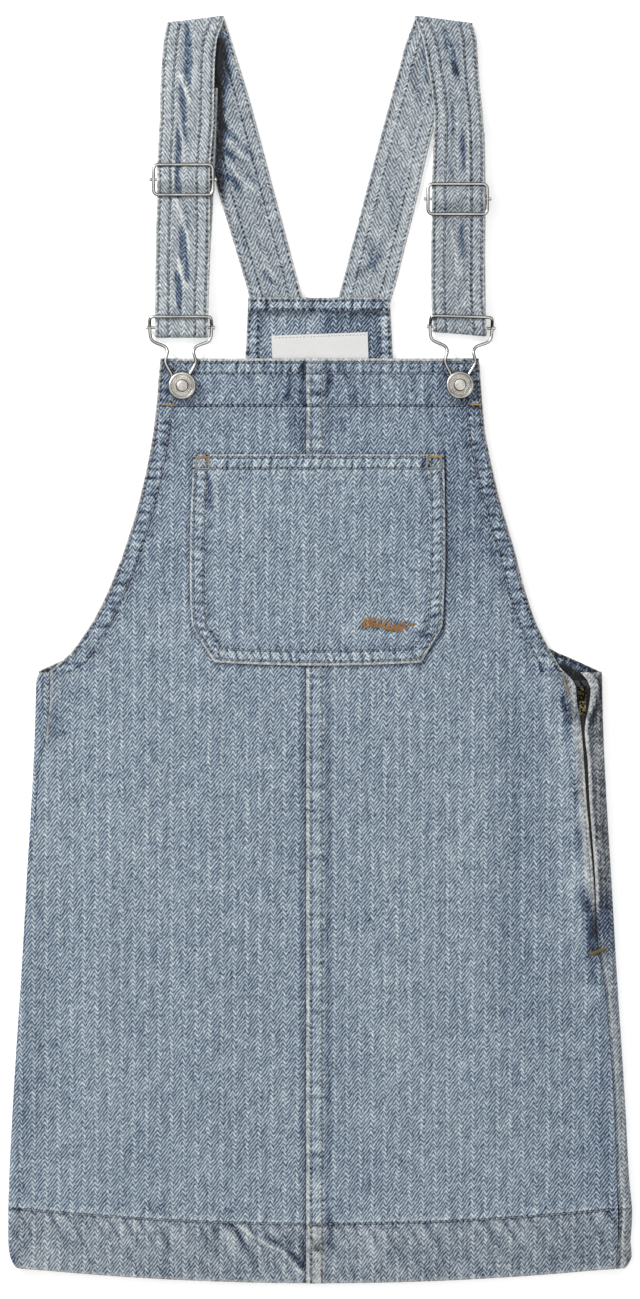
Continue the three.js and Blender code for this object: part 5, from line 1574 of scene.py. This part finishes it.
tape_front = zip_tape("zip_tape_front_cloth", -1, "zip_tape_front")
tape_back = zip_tape("zip_tape_back_cloth", 1, "zip_tape_back")
coil = []
for y in np.arange(-186, -31.5, 1.15):
    m, z = float(zip_middle(np.array(y))), float(zip_low(np.array(y)))
    coil.append(flat_line([(m - 1.5, y, z + 0.12), (m + 0.5, y + 0.1, z + 0.2)]))
    coil.append(flat_line([(m - 0.5, y + 0.57, z + 0.2), (m + 1.5, y + 0.67, z + 0.12)]))
lay_stitches("zip_coil", coil, COIL, 1.9, 5, 0.4)


def block(name, parts, node, body="dress", soft=0.25):
    """A small brass casting: boxes joined by union, with its edges softened."""
    made = []
    for x0, x1, y0, y1, z0, z1 in parts:
        deselect()
        bpy.ops.mesh.primitive_cube_add(size=1)
        ob = bpy.context.object
        ob.location = Vector(((x0 + x1) / 2, (y0 + y1) / 2, (z0 + z1) / 2)) * MM
        ob.scale = Vector((x1 - x0, y1 - y0, z1 - z0)) * MM
        bpy.ops.object.transform_apply(location=True, scale=True)
        made.append(ob)
    ob = made[0]
    bpy.context.view_layer.objects.active = ob
    for other in made[1:]:
        cut = ob.modifiers.new("join", "BOOLEAN")
        cut.operation, cut.object, cut.solver = "UNION", other, "EXACT"
        bpy.ops.object.modifier_apply(modifier="join")
        bpy.data.objects.remove(other)
    round_off = ob.modifiers.new("soft", "BEVEL")
    round_off.width, round_off.segments, round_off.limit_method = soft * MM, 2, "ANGLE"
    bpy.ops.object.modifier_apply(modifier="soft")
    ob.name = ob.data.name = name
    pick(ob)
    bpy.ops.object.shade_smooth_by_angle(angle=math.radians(45))
    return ride(ob, BRASS, "zip_metal", node, body=body)


x, y, z = ZIP_X, ZIP_Y, PULL_Z
# The body, and the bridge that holds the tab's end bar
block("zip_slider_body", [
    (x - 2.9, x + 2.9, y - 4, y + 3.8, 4.55, 6.3), (x - 0.7, x + 0.7, y - 2.5, y - 1.6, 6.1, 9),
    (x - 0.7, x + 0.7, y + 1.6, y + 2.5, 6.1, 9), (x - 0.7, x + 0.7, y - 2.5, y + 2.5, 8.3, 9),
], "zip_slider")
# The end bar, two arms and the blade
h = 0.45
block("zip_pull_tab", [
    (x - 2, x + 2, y - h, y + h, z - h, z + h), (x - 2, x - 1.1, y - 4, y, z - h, z + h),
    (x + 1.1, x + 2, y - 4, y, z - h, z + h), (x - 2, x + 2, y - 14.5, y - 3.6, z - h, z + h),
], "zip_pull", body="pull_tab", soft=0.2)

# Floor, light and camera
deselect()
bpy.ops.mesh.primitive_plane_add(size=6, location=(0, 0, -0.0005))
floor = bpy.context.object
floor.name = "studio_floor"
ground = Nodes("studio_floor_white")
ground.surface(Base_Color=(0.93, 0.93, 0.93, 1), Roughness=0.9, Emission_Color=(1, 1, 1, 1),
               Emission_Strength=0.35)
floor.data.materials.append(ground.mat)


def softbox(name, at, size, power):
    """A round lamp aimed at the dress."""
    lamp = bpy.data.lights.new(name, "AREA")
    lamp.shape = "DISK"
    lamp.size = size
    lamp.energy = power
    ob = linked(name, lamp)
    ob.location = at
    ob.rotation_euler = (-Vector(at)).to_track_quat("-Z", "Y").to_euler()


softbox("key_light", (-1.6, 1.4, 1.35), 0.7, 48)
softbox("fill_light", (1.4, -0.8, 2.0), 1.6, 7)
# A bright ceiling over a dimmer horizon, for soft light and for dark rims on the metal
world = bpy.data.worlds.new("studio_air")
world.use_nodes = True
sky = world.node_tree
height = sky.nodes.new("ShaderNodeSeparateXYZ")
where = sky.nodes.new("ShaderNodeTexCoord")
glow = sky.nodes.new("ShaderNodeValToRGB")
sky.links.new(where.outputs["Generated"], height.inputs[0])
sky.links.new(height.outputs[2], glow.inputs["Fac"])
glow.color_ramp.elements[0].position = 0.2
glow.color_ramp.elements[0].color = (0.05, 0.05, 0.055, 1)
glow.color_ramp.elements[1].position = 0.62
glow.color_ramp.elements[1].color = (0.9, 0.9, 0.9, 1)
top = glow.color_ramp.elements.new(0.97)
top.color = (1.25, 1.25, 1.25, 1)
sky.links.new(glow.outputs["Color"], sky.nodes["Background"].inputs[0])
sky.nodes["Background"].inputs[1].default_value = 0.75
bpy.context.scene.world = world
bpy.context.scene.view_settings.view_transform = "Standard"

lens = bpy.data.cameras.new("camera")
camera = linked("camera", lens)
lens.sensor_fit = "VERTICAL"
lens.sensor_height = 24
lens.lens = 24 * 2.6 / 0.8184
camera.location = (0.0006, -0.0006, 2.604)
camera.rotation_euler = (0, 0, 0)
bpy.context.scene.camera = camera
